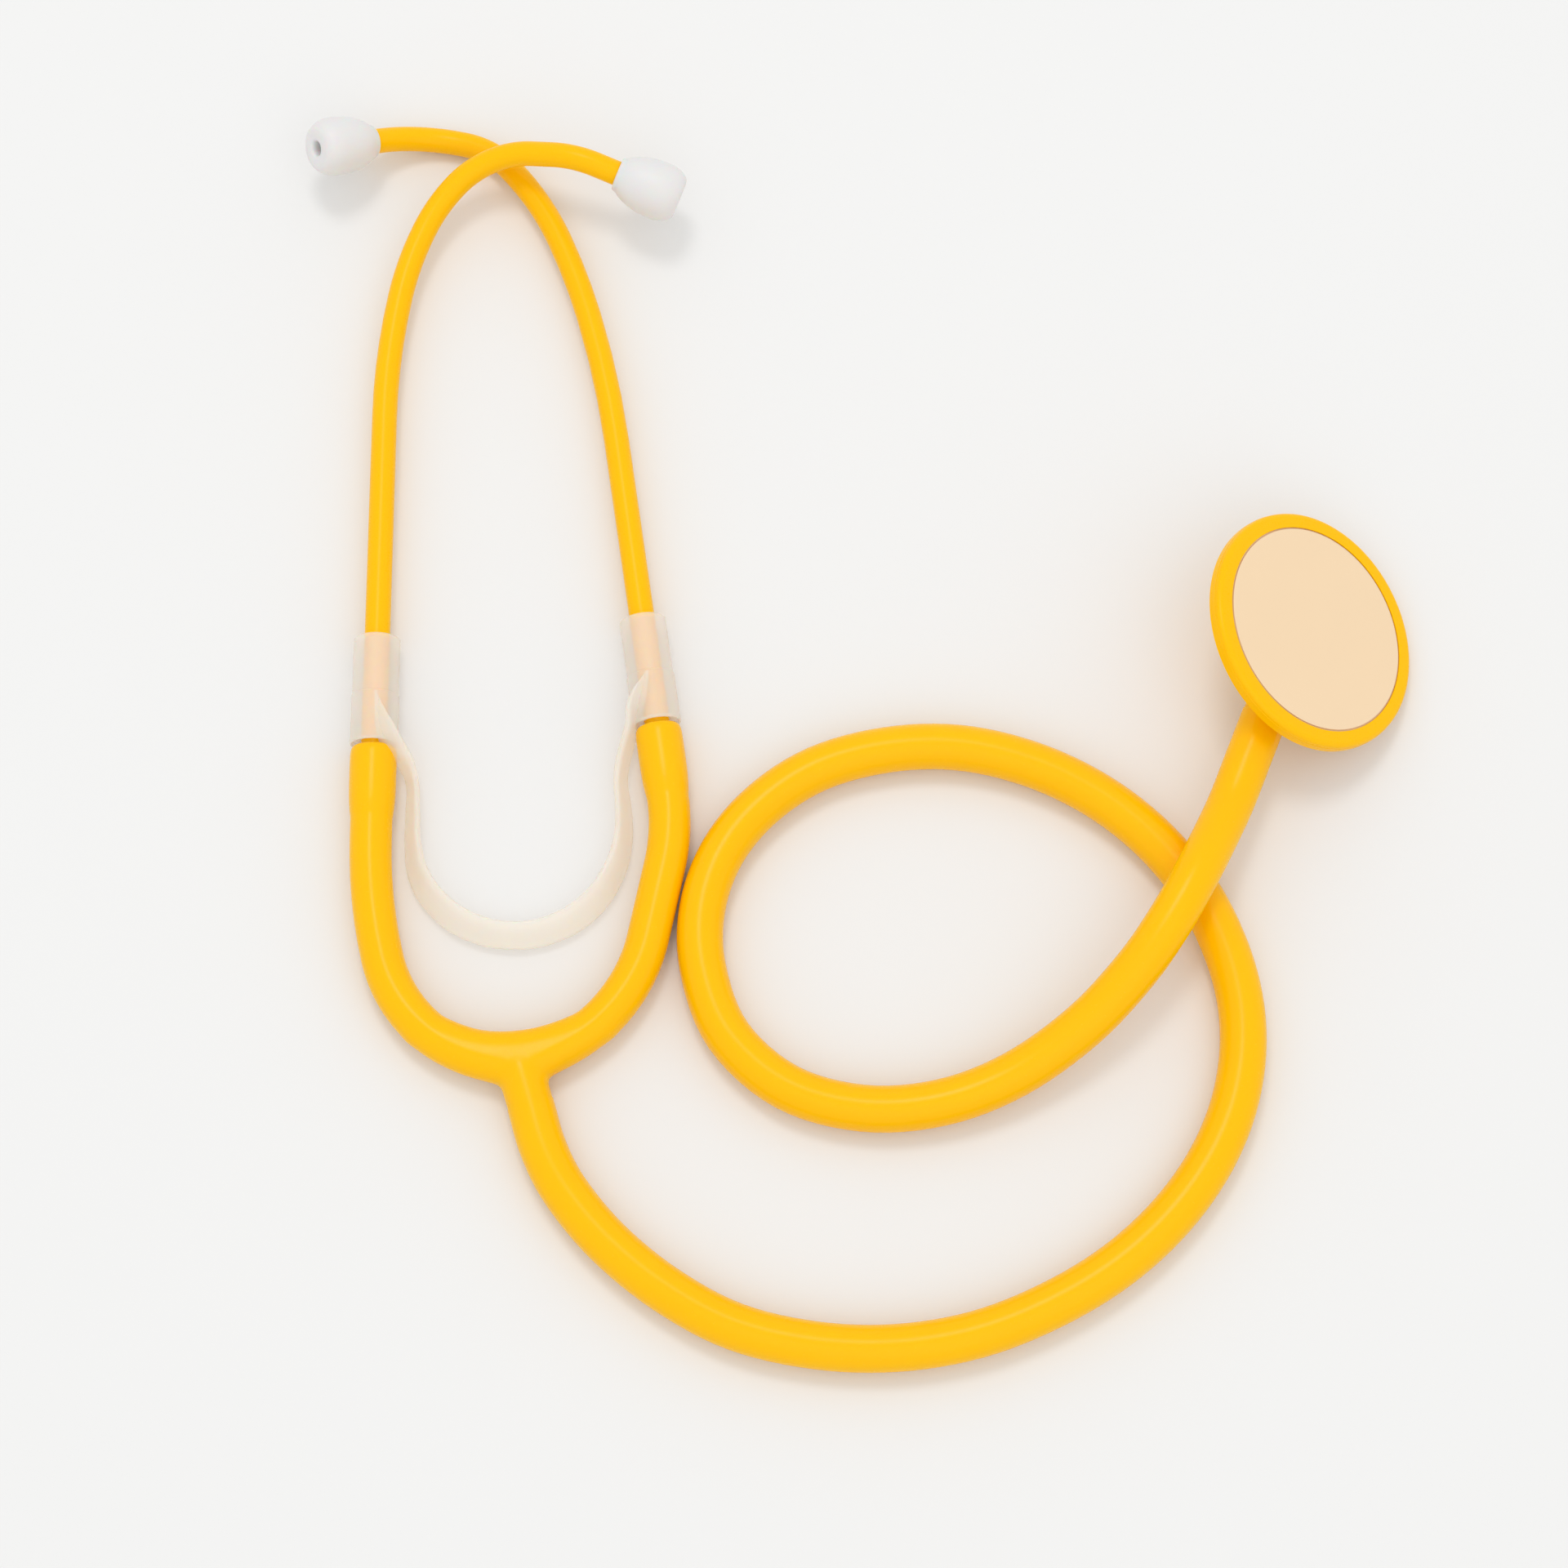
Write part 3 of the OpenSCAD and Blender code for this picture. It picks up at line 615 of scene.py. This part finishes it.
def soft_vinyl():
    """Plasticised PVC: deep even colour with a soft sheen, and light goes a little way in."""
    look = bpy.context.scene.stethoscope
    return plastic(
        "plasticised_pvc",
        look.yellow,
        shade_share=0.97,
        roughness=0.24,
        grain_mm=0.6,
        bump=0.06,
        in_IOR=1.53,
        in_Specular_IOR_Level=0.13,
        in_Subsurface_Weight=0.12,
        in_Subsurface_Scale=1.5 * MM,
    )


def hard_plastic():
    """Injection-moulded polypropylene: the same yellow, a crisper gloss and a fine moulded grain."""
    look = bpy.context.scene.stethoscope
    return plastic(
        "moulded_polypropylene",
        look.yellow,
        shade_share=0.97,
        roughness=0.28,
        grain_mm=0.4,
        bump=0.06,
        in_IOR=1.49,
        in_Specular_IOR_Level=0.13,
        in_Subsurface_Weight=0.08,
        in_Subsurface_Scale=1.0 * MM,
    )


def frosted_plastic():
    """Natural polyethylene, moulded thin: milky and see-through, so what it wraps tints it."""
    look = bpy.context.scene.stethoscope
    return plastic(
        "natural_polyethylene",
        look.frosted,
        shade_share=0.96,
        roughness=0.46,
        grain_mm=0.5,
        bump=0.12,
        in_IOR=1.5,
        in_Alpha=0.36,
        in_Subsurface_Weight=0.4,
        in_Subsurface_Scale=2 * MM,
    )


def tip_vinyl():
    """Soft white PVC, dip moulded: milky, with light spread inside it."""
    look = bpy.context.scene.stethoscope
    return plastic(
        "white_soft_pvc",
        look.tip_white,
        shade_share=0.97,
        roughness=0.42,
        grain_mm=0.5,
        bump=0.08,
        in_IOR=1.5,
        in_Subsurface_Weight=0.5,
        in_Subsurface_Scale=2.5 * MM,
    )


def film_plastic():
    """Polyester film over the yellow body: matt, warm and almost even."""
    look = bpy.context.scene.stethoscope
    return plastic(
        "polyester_film",
        look.film,
        shade_share=0.97,
        roughness=0.5,
        grain_mm=0.3,
        bump=0.06,
        in_IOR=1.58,
    )


def table_top():
    """Smooth pale table: almost even, with a wide dull gloss."""
    look = bpy.context.scene.stethoscope
    return plastic(
        "table_top",
        look.floor,
        shade_share=0.995,
        roughness=0.6,
        grain_mm=1.5,
        bump=0.02,
        in_IOR=1.3,
    )


class StethoscopeLook(bpy.types.PropertyGroup):
    """Sizes and colours of the stethoscope's looks."""

    yellow: bpy.props.FloatVectorProperty(
        name="Yellow",
        description="Colour of the hose, tubes and head",
        default=linear("FFC000"),
        subtype="COLOR",
    )
    frosted: bpy.props.FloatVectorProperty(
        name="Frosted",
        description="Colour of the spring",
        default=linear("FCF4E7"),
        subtype="COLOR",
    )
    tip_white: bpy.props.FloatVectorProperty(
        name="Tip white",
        description="Colour of the ear tips",
        default=linear("E2E2E1"),
        subtype="COLOR",
    )
    film: bpy.props.FloatVectorProperty(
        name="Film",
        description="Colour of the diaphragm",
        default=linear("F1D4AD"),
        subtype="COLOR",
    )
    floor: bpy.props.FloatVectorProperty(
        name="Floor",
        description="Colour of the table",
        default=linear("E9E9E8"),
        subtype="COLOR",
    )
    hose_d: bpy.props.FloatProperty(
        name="Hose diameter",
        description="Outside diameter of the hose",
        default=9 * MM,
        unit="LENGTH",
    )
    arm_d: bpy.props.FloatProperty(
        name="Arm diameter",
        description="Outside diameter of the Y arms",
        default=8.1 * MM,
        unit="LENGTH",
    )
    socket_d: bpy.props.FloatProperty(
        name="Socket diameter",
        description="Diameter of an arm's swelled mouth",
        default=9.2 * MM,
        unit="LENGTH",
    )
    ear_d: bpy.props.FloatProperty(
        name="Ear tube diameter",
        description="Outside diameter of the ear tubes",
        default=5 * MM,
        unit="LENGTH",
    )
    ear_bore: bpy.props.FloatProperty(
        name="Ear tube bore",
        description="Bore of the ear tubes",
        default=3 * MM,
        unit="LENGTH",
    )
    knurl_count: bpy.props.IntProperty(
        name="Knurl teeth", description="Teeth round the retaining ring", default=180, min=60, max=240
    )


class STETHOSCOPE_OT_stage(bpy.types.Operator):
    """Camera at the photograph's angle, pale table and soft studio light"""

    bl_idname = "stethoscope.stage"
    bl_label = "Stage"

    def execute(self, context):
        put_down()
        way = (CAMERA_AIM - CAMERA_STAND).to_track_quat("-Z", "Y").to_euler()
        bpy.ops.object.camera_add(location=CAMERA_STAND, rotation=way)
        camera = context.active_object
        camera.name = "camera"
        camera.data.sensor_width = CAMERA_SENSOR_MM
        camera.data.lens = CAMERA_LENS_MM
        camera.data.clip_start = CAMERA_CLIP
        context.scene.camera = camera
        put_down()
        bpy.ops.mesh.primitive_plane_add(size=FLOOR_SIZE)
        floor = context.active_object
        floor.name = "floor"
        floor.data.materials.append(table_top())
        for name, place, size, power in LAMPS:
            put_down()
            bpy.ops.object.light_add(type="AREA", location=place)
            lamp = context.active_object
            lamp.name = name
            lamp.data.size = size
            lamp.data.energy = power
            lamp.rotation_euler = (-Vector(place)).to_track_quat("-Z", "Y").to_euler()
        world = bpy.data.worlds.new("soft_room")
        world.use_nodes = True
        room = world.node_tree.nodes["Background"]
        room.inputs["Color"].default_value = (*ROOM_COLOUR, 1)
        room.inputs["Strength"].default_value = ROOM_STRENGTH
        context.scene.world = world
        context.scene.view_settings.view_transform = "Standard"
        return {"FINISHED"}


class STETHOSCOPE_OT_hose(bpy.types.Operator):
    """The hose, one smooth run from the fork to the head's stem"""

    bl_idname = "stethoscope.hose"
    bl_label = "Hose"

    def execute(self, context):
        look = context.scene.stethoscope
        _, out, end = fork_place()
        stem = stem_matrix()
        lead = STEM_LEN + look.hose_d / 4 / MM
        seats = [stem @ Vector((0, 0, (STEM_REACH + lead * share) * MM)) / MM for share in (1, 0.5, 0)]
        start = end + HOSE_GAP * out
        points = curve_points([start, start + look.hose_d / MM * out] + HOSE_ROUTE + seats, 6)
        hose = line_tube("hose", points, look.hose_d / 2 / MM)
        finish_piece(hose, "y_tube", "soft_yellow", soft_vinyl(), "stem_tube")
        return {"FINISHED"}


def socket_steps(seat_r, socket_r, arm_r):
    """Steps from the socket's floor out to its rounded mouth and back along the outside to the arm."""
    lip = (socket_r - seat_r) / 2
    steps = [("run", lip - SOCKET_DEPTH)]
    steps += [("grow", way * lip, seat_r + share * lip) for way, share in SOCKET_LIP_SHARES]
    outside = sum(way for way, _ in SOCKET_LIP_SHARES if way > 0) + SOCKET_SHOULDER_SHARE + 1
    return steps + [
        ("grow", SOCKET_SHOULDER_SHARE * lip, socket_r - SOCKET_SHOULDER),
        ("grow", lip, socket_r),
        ("run", SOCKET_DEPTH - (outside + 1) * lip - sum(SOCKET_SWELL)),
        ("grow", lip + SOCKET_SWELL[0], socket_r - SOCKET_SWELL_FALL[0]),
        ("grow", SOCKET_SWELL[1], socket_r - SOCKET_SWELL_FALL[1]),
        ("grow", SOCKET_TAPER / 2, (socket_r + arm_r) / 2 + SOCKET_TAPER_RISE[0]),
        ("grow", SOCKET_TAPER / 2, arm_r + SOCKET_TAPER_RISE[1]),
    ]


def fork_webs(fork, out):
    """Round bars that fill the fork: its inner side, its middle and the two corners beside the stub."""
    left_f, right_f = arm_frames()
    (_, left_way, _), (_, right_way, _) = arm_roots()
    inner = [arm_place(left_f, LEFT_ARM, short) for short in WEB_LEFT_ANGLES]
    inner += [fork + v for v in WEB_FLAT]
    inner += [arm_place(right_f, RIGHT_ARM, short) for short in WEB_RIGHT_ANGLES]
    webs = [line_tube("web_inner", curve_points(inner, 8), WEB_R)]
    pick(webs[0])
    bpy.ops.object.convert(target="MESH")
    for name, r, a, b in (
        ("middle", FILL_R, fork - FILL_REACH[0] * left_way, fork - FILL_REACH[1] * right_way),
        ("left", CORNER_R, fork - CORNER_REACH * left_way, fork + CORNER_REACH * out),
        ("right", CORNER_R, fork - CORNER_REACH * right_way, fork + CORNER_REACH * out),
    ):
        bar = b - a
        web = bent_tube("web_" + name, (a, bar.normalized(), UP), r, [("run", bar.length)], WEB_SIDES)
        close_ends(web)
        webs.append(web)
    return webs


def melt_fork(o, fork):
    """Runs the joined bars into one skin and softens it, most of all round the fork."""
    apply_modifier(o, "REMESH", mode="VOXEL", voxel_size=SKIN_VOXEL * MM)
    near = o.vertex_groups.new(name="fork")
    for v in o.data.vertices:
        share = 1 - ((v.co / MM - fork).length - FORK_SMOOTH_REACH) / FORK_SMOOTH_FADE
        if share > 0:
            near.add([v.index], min(share, 1), "REPLACE")
    apply_modifier(o, "SMOOTH", factor=0.5, iterations=FORK_SMOOTH_PASSES, vertex_group="fork")
    apply_modifier(o, "SMOOTH", factor=0.5, iterations=SKIN_SMOOTH_PASSES)
    o.vertex_groups.clear()


def cut_off(o, place, way):
    """Cuts a piece square to a way and throws away what lies beyond."""
    pick(o)
    bpy.ops.object.mode_set(mode="EDIT")
    bpy.ops.mesh.select_all(action="SELECT")
    bpy.ops.mesh.bisect(plane_co=place * MM, plane_no=way, use_fill=True, clear_outer=True)


def part_right(o, place, name):
    """Parts a piece at a place and returns what lies to its right as a piece of its own."""
    cut = place * MM
    bpy.ops.mesh.select_all(action="SELECT")
    bpy.ops.mesh.bisect(plane_co=cut, plane_no=(1, 0, 0))
    bpy.ops.mesh.select_mode(type="FACE")
    bpy.ops.mesh.select_all(action="DESELECT")
    put_down()
    for face in o.data.polygons:
        face.select = face.center.x > cut.x
    pick(o)
    bpy.ops.object.mode_set(mode="EDIT")
    bpy.ops.mesh.separate(type="SELECTED")
    bpy.ops.mesh.select_mode(type="VERT")
    bpy.ops.object.mode_set(mode="OBJECT")
    right = next(a for a in bpy.context.selected_objects if a is not o)
    right.name = name
    right.data.name = name
    return right


class STETHOSCOPE_OT_y_tube(bpy.types.Operator):
    """The soft Y: two arms with swelled sockets, run together in a filleted fork with a short stem"""

    bl_idname = "stethoscope.y_tube"
    bl_label = "Y tube"

    def execute(self, context):
        look = context.scene.stethoscope
        socket_r, arm_r, hose_r = (d / 2 / MM for d in (look.socket_d, look.arm_d, look.hose_d))
        seat_r = look.ear_d / 2 / MM + RUNNING_GAP
        mouth = socket_steps(seat_r, socket_r, arm_r)
        fork, out, end = fork_place()
        parts = []
        for name, f, steps in zip(("left", "right"), arm_frames(), (LEFT_ARM, RIGHT_ARM)):
            inside = past_run(f, SOCKET_DEPTH)
            arm = bent_tube("arm_" + name, inside, seat_r, mouth + steps + [("run", ROOT_OVERRUN)])
            parts.append(close_ends(arm))
        stem = bent_tube("fork_stem", (fork, out, UP), hose_r, [("run", STUB_LEN + STUB_OVERRUN)])
        parts.append(close_ends(stem))
        put_down()
        bpy.ops.mesh.primitive_uv_sphere_add(radius=hose_r * MM, location=fork * MM)
        parts.append(context.active_object)
        o = pick(*parts, *fork_webs(fork, out))
        bpy.ops.object.join()
        bpy.ops.object.transform_apply(location=True, rotation=True, scale=True)
        o.name = "y_tube_moulding"
        o.data.name = "y_tube_moulding"
        melt_fork(o, fork)
        # the stub's end lies just inside the hose, so that no seam shows
        cut_off(o, end + STUB_LAP_SHARE * HOSE_GAP * out, out)
        right_way = arm_roots()[1][1]
        arm = part_right(o, fork - RIGHT_ARM_ROOT * right_way, "y_tube_right_arm")
        for piece in (o, arm):
            close_ends(piece)
            tidy_mesh(piece, smooth_angle=50)
        finish_piece(o, "y_tube", "soft_yellow", soft_vinyl(), "y_junction", "y_arm_left")
        finish_piece(arm, None, "soft_yellow", soft_vinyl(), "y_arm_right")
        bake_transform(arm)
        return {"FINISHED"}


class STETHOSCOPE_OT_ear_tubes(bpy.types.Operator):
    """The two bent ear tubes, crossed near their tips"""

    bl_idname = "stethoscope.ear_tubes"
    bl_label = "Ear tubes"

    def execute(self, context):
        look = context.scene.stethoscope
        for side, f, ear in zip(("left", "right"), mouth_frames(), (LEFT_EAR, RIGHT_EAR)):
            steps = [("run", SOCKET_DEPTH)] + ear_steps(ear) + [("run", TIP_SOCKET)]
            foot = past_run(f, -SOCKET_DEPTH)
            o = bent_tube("ear_tube_" + side + "_bent", foot, look.ear_d / 2 / MM, steps)
            tidy_mesh(o)
            apply_modifier(o, "SOLIDIFY", thickness=(look.ear_d - look.ear_bore) / 2, offset=-1)
            finish_piece(o, side + "_ear_tube", "hard_yellow", hard_plastic(), "ear_tube_" + side)
        return {"FINISHED"}


class STETHOSCOPE_OT_ear_tips(bpy.types.Operator):
    """The two soft ear tips, plump barrels with a funnelled sound hole"""

    bl_idname = "stethoscope.ear_tips"
    bl_label = "Ear tips"

    def execute(self, context):
        look = context.scene.stethoscope
        seat_r = look.ear_d / 2 / MM + RUNNING_GAP
        rows = [(TIP_SOCKET, seat_r)]
        rows += edge(TIP_MOUTH_EDGE, 0, seat_r)
        rows += edge(TIP_FOOT_EDGE, 0, TIP_BASE_R)
        for k in range(0, 15):
            t = k / 14
            rise = TIP_FOOT_SHARE + (TIP_WIDEST_SHARE - TIP_FOOT_SHARE) * (t + t * t) / 2
            rows.append((TIP_LEN * rise, TIP_BASE_R + TIP_SWELL * math.sin(t * math.pi / 2)))
        wide = TIP_BASE_R + TIP_SWELL
        for k in range(1, 13):
            a = math.radians(90 * k / 12)
            rise = TIP_WIDEST_SHARE + (1 - TIP_WIDEST_SHARE) * math.sin(a)
            rows.append((TIP_LEN * rise, wide * (TIP_NOSE_SHARE + (1 - TIP_NOSE_SHARE) * math.cos(a))))
        rows += edge(TIP_HOLE_EDGE, TIP_LEN, TIP_HOLE_R)
        rows += [(TIP_SOCKET + RUNNING_GAP, TIP_HOLE_R), (TIP_SOCKET, seat_r)]
        model = turned("ear_tip", rows, Matrix(), TIP_SIDES)
        tidy_mesh(model, smooth_angle=50)
        for side, f, ear in zip(("left", "right"), mouth_frames(), (LEFT_EAR, RIGHT_EAR)):
            end = frame_matrix(past_steps(f, ear_steps(ear)))
            o = place_copy(model, "ear_tip_" + side + "_soft", end)
            finish_piece(o, side + "_tip", "white_soft", tip_vinyl(), "ear_tip_" + side)
        bpy.data.objects.remove(model)
        return {"FINISHED"}


class STETHOSCOPE_OT_sleeves(bpy.types.Operator):
    """The two frosted sleeves of the spring, thicker over their lower part, with a thin lip at the foot"""

    bl_idname = "stethoscope.sleeves"
    bl_label = "Spring sleeves"

    def execute(self, context):
        look = context.scene.stethoscope
        bore_r = look.ear_d / 2 / MM + RUNNING_GAP
        rows = edge(SLEEVE_FOOT_BORE_EDGE, 0, bore_r)
        rows += edge(SLEEVE_FOOT_LIP + SLEEVE_WAIST, 0, SLEEVE_R)
        rows += edge(SLEEVE_BAND_EDGE, SLEEVE_BAND, SLEEVE_R)
        rows += edge(SLEEVE_TOP_EDGE, SLEEVE_LEN, SLEEVE_R)
        rows += edge(SLEEVE_TOP_BORE_EDGE, SLEEVE_LEN, bore_r)
        rows += rows[:1]
        model = turned("sleeve", rows, Matrix(), SLEEVE_SIDES)
        tidy_mesh(model, smooth_angle=40)
        for side, f, body in zip(("left", "right"), mouth_frames(), ("y_tube", "right_sleeve")):
            foot = frame_matrix(past_run(f, SLEEVE_LIFT))
            o = place_copy(model, "spring_sleeve_" + side + "_frosted", foot)
            finish_piece(o, body, "frosted", frosted_plastic(), "spring_sleeve_" + side)
        bpy.data.objects.remove(model)
        return {"FINISHED"}


def strap_rows(left, right):
    """Place, roll and share of the width along the strap, from one sleeve's root to the other's."""

    def root(f, inward, angle, height):
        a = math.radians(angle)
        reach = SLEEVE_R + ROOT_STAND - ROOT_SINK_SHARE * max(height, 0)
        return f[0] + height * f[1] + reach * (math.cos(a) * inward + math.sin(a) * UP)

    rows = [(root(left, Vector((1, 0, 0)), a, h), 90 - a, w) for a, h, w in LEFT_STRAP_ROOT]
    span = right[0].x - left[0].x
    for x, y, z, roll in STRAP_SHARES:
        place = Vector((left[0].x + x * span, left[0].y - y * STRAP_DROP, z * AXIS_Z))
        rows.append((place, roll, 1 if y > STRAP_FULL_DROP_SHARE else STRAP_SIDE_SHARE))
    inward = lean_ways(RIGHT_LEAN)[1]
    return rows + [(root(right, inward, a, h), 90 - a, w) for a, h, w in reversed(RIGHT_STRAP_ROOT)]


def strap_section():
    """The strap's cross-section, flat with well-rounded corners."""
    put_down()
    bpy.ops.curve.primitive_bezier_circle_add(radius=1)
    section = bpy.context.active_object
    spline = section.data.splines[0]
    spline.resolution_u = 6
    half = Vector((STRAP_WIDTH, STRAP_THICK, 0)) / 2 * MM
    for p, q in zip(spline.bezier_points, ((-1, 0), (0, 1), (1, 0), (0, -1))):
        p.co = (q[0] * half.x, q[1] * half.y, 0)
        p.handle_left_type = p.handle_right_type = "FREE"
        reach = Vector((q[1] * half.x, -q[0] * half.y, 0)) * STRAP_ROUND_SHARE
        p.handle_right = p.co + reach
        p.handle_left = p.co - reach
    return section


class STETHOSCOPE_OT_strap(bpy.types.Operator):
    """The spring's strap, a twisted band that hangs between the sleeves"""

    bl_idname = "stethoscope.strap"
    bl_label = "Spring strap"

    def execute(self, context):
        left, right = (past_run(f, SLEEVE_LIFT) for f in mouth_frames())
        rows = strap_rows(left, right)
        section = strap_section()
        put_down()
        bpy.ops.curve.primitive_nurbs_path_add()
        o = context.active_object
        o.name = "spring_strap_band"
        o.data.name = "spring_strap_band"
        o.location = (0, 0, 0)
        o.data.splines.clear()
        spline = o.data.splines.new("BEZIER")
        spline.bezier_points.add(len(rows) - 1)
        for p, (place, roll, share) in zip(spline.bezier_points, rows):
            p.co = place * MM
            p.handle_left_type = p.handle_right_type = "AUTO"
            p.tilt = math.radians(roll)
            p.radius = share
        spline.resolution_u = 8
        o.data.twist_mode = "Z_UP"
        o.data.bevel_mode = "OBJECT"
        o.data.bevel_object = section
        o.data.use_fill_caps = True
        pick(o)
        bpy.ops.object.convert(target="MESH")
        bpy.data.objects.remove(section)
        tidy_mesh(o, smooth_angle=50)
        finish_piece(o, None, "frosted", frosted_plastic(), "spring_strap")
        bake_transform(o)
        return {"FINISHED"}


class STETHOSCOPE_OT_chestpiece(bpy.types.Operator):
    """The head's body: a shallow cup with a rim, and a boss with a barbed stem"""

    bl_idname = "stethoscope.chestpiece"
    bl_label = "Chestpiece body"

    def execute(self, context):
        cup = turned("chestpiece_cup", CUP_ROWS, head_matrix(), HEAD_SIDES)
        reach = STEM_REACH - RUNNING_GAP
        turns = [math.radians(a) for a in range(90, -1, -10)]
        rows = [(-BOSS_R * math.sin(t), BOSS_R * math.cos(t)) for t in turns]
        rows += edge(BOSS_EDGE, reach, BOSS_R) + [(reach, STEM_R)]
        pitch = STEM_LEN / BARBS
        for k in range(BARBS):
            z = reach + pitch * (k + 0.5)
            rows += edge(BARB_EDGE, z, STEM_R) + [(z + pitch / 2, STEM_R)]
        floor = reach + STEM_BORE_FLOOR
        rows += [(reach + STEM_LEN, STEM_BORE_R), (floor, STEM_BORE_R), (floor, 0)]
        stem = turned("chestpiece_stem", rows, stem_matrix(), STEM_SIDES)
        o = pick(cup, stem)
        bpy.ops.object.join()
        o.name = "chestpiece_cup_and_stem"
        tidy_mesh(o, smooth_angle=40)
        finish_piece(o, "chestpiece", "hard_yellow", hard_plastic(), "chestpiece_body")
        return {"FINISHED"}


class STETHOSCOPE_OT_diaphragm(bpy.types.Operator):
    """The head's film, a thin disc with a slight crown"""

    bl_idname = "stethoscope.diaphragm"
    bl_label = "Diaphragm"

    def execute(self, context):
        o = turned("diaphragm_film", FILM_ROWS, head_matrix(), HEAD_SIDES)
        tidy_mesh(o, smooth_angle=40)
        finish_piece(o, "diaphragm", "film", film_plastic(), "diaphragm")
        return {"FINISHED"}


class STETHOSCOPE_OT_ring(bpy.types.Operator):
    """The screw ring that holds the film: a broad rounded crown and a knurled band behind it"""

    bl_idname = "stethoscope.ring"
    bl_label = "Retaining ring"

    def execute(self, context):
        teeth = context.scene.stethoscope.knurl_count
        rows = list(RING_LIP_ROWS)
        for a in range(90, -1, -10):
            t = math.radians(a)
            height = CROWN_HEIGHT * (math.sin(t) - 1) - CROWN_DROP
            rows.append((height, RING_R - CROWN_WIDTH + CROWN_WIDTH * math.cos(t)))
        rows += [(KNURL_TOP, RING_R), (KNURL_TOP - KNURL_SLOPE, KNURL_R)]
        rows += [(KNURL_BOTTOM + KNURL_SLOPE, KNURL_R), (KNURL_BOTTOM, RING_R)]
        rows += edge(RING_BACK_EDGE, 0, RING_R) + RING_THREAD_ROWS + RING_LIP_ROWS[:1]
        o = turned("retaining_ring_knurled", rows, Matrix(), 2 * teeth)
        for v in o.data.vertices:
            on_band = KNURL_BOTTOM < v.co.z / MM < KNURL_TOP
            on_wall = abs(math.hypot(v.co.x, v.co.y) / MM - KNURL_R) < KNURL_SLOPE
            turn = round(math.atan2(v.co.y, v.co.x) / math.pi * teeth)
            v.select = on_band and on_wall and turn % 2 == 1
        bpy.ops.object.mode_set(mode="EDIT")
        grow = 1 + KNURL_TOOTH / KNURL_R
        bpy.ops.transform.resize(value=(grow, grow, 1), center_override=(0, 0, 0))
        put_down()
        pick(o)
        o.matrix_world = head_matrix()
        bpy.ops.object.transform_apply(location=True, rotation=True, scale=True)
        tidy_mesh(o, smooth_angle=32)
        finish_piece(o, "ring", "hard_yellow", hard_plastic(), "retaining_ring")
        return {"FINISHED"}


class STETHOSCOPE_PT_panel(bpy.types.Panel):
    """Lists the stethoscope's operators and settings"""

    bl_idname = "STETHOSCOPE_PT_panel"
    bl_label = "Stethoscope"
    bl_space_type = "VIEW_3D"
    bl_region_type = "UI"
    bl_category = "Stethoscope"

    def draw(self, context):
        for c in OPERATORS:
            self.layout.operator(c.bl_idname)
        for name in StethoscopeLook.__annotations__:
            self.layout.prop(context.scene.stethoscope, name)


OPERATORS = (
    STETHOSCOPE_OT_stage,
    STETHOSCOPE_OT_hose,
    STETHOSCOPE_OT_y_tube,
    STETHOSCOPE_OT_ear_tubes,
    STETHOSCOPE_OT_ear_tips,
    STETHOSCOPE_OT_sleeves,
    STETHOSCOPE_OT_strap,
    STETHOSCOPE_OT_chestpiece,
    STETHOSCOPE_OT_diaphragm,
    STETHOSCOPE_OT_ring,
)
CLASSES = (StethoscopeLook, *OPERATORS, STETHOSCOPE_PT_panel)


def register():
    for c in CLASSES:
        bpy.utils.register_class(c)
    bpy.types.Scene.stethoscope = bpy.props.PointerProperty(type=StethoscopeLook)


def unregister():
    del bpy.types.Scene.stethoscope
    for c in reversed(CLASSES):
        bpy.utils.unregister_class(c)


def main():
    register()
    for c in OPERATORS:
        group, name = c.bl_idname.split(".")
        getattr(getattr(bpy.ops, group), name)()
    put_down()


if __name__ == "__main__":
    main()
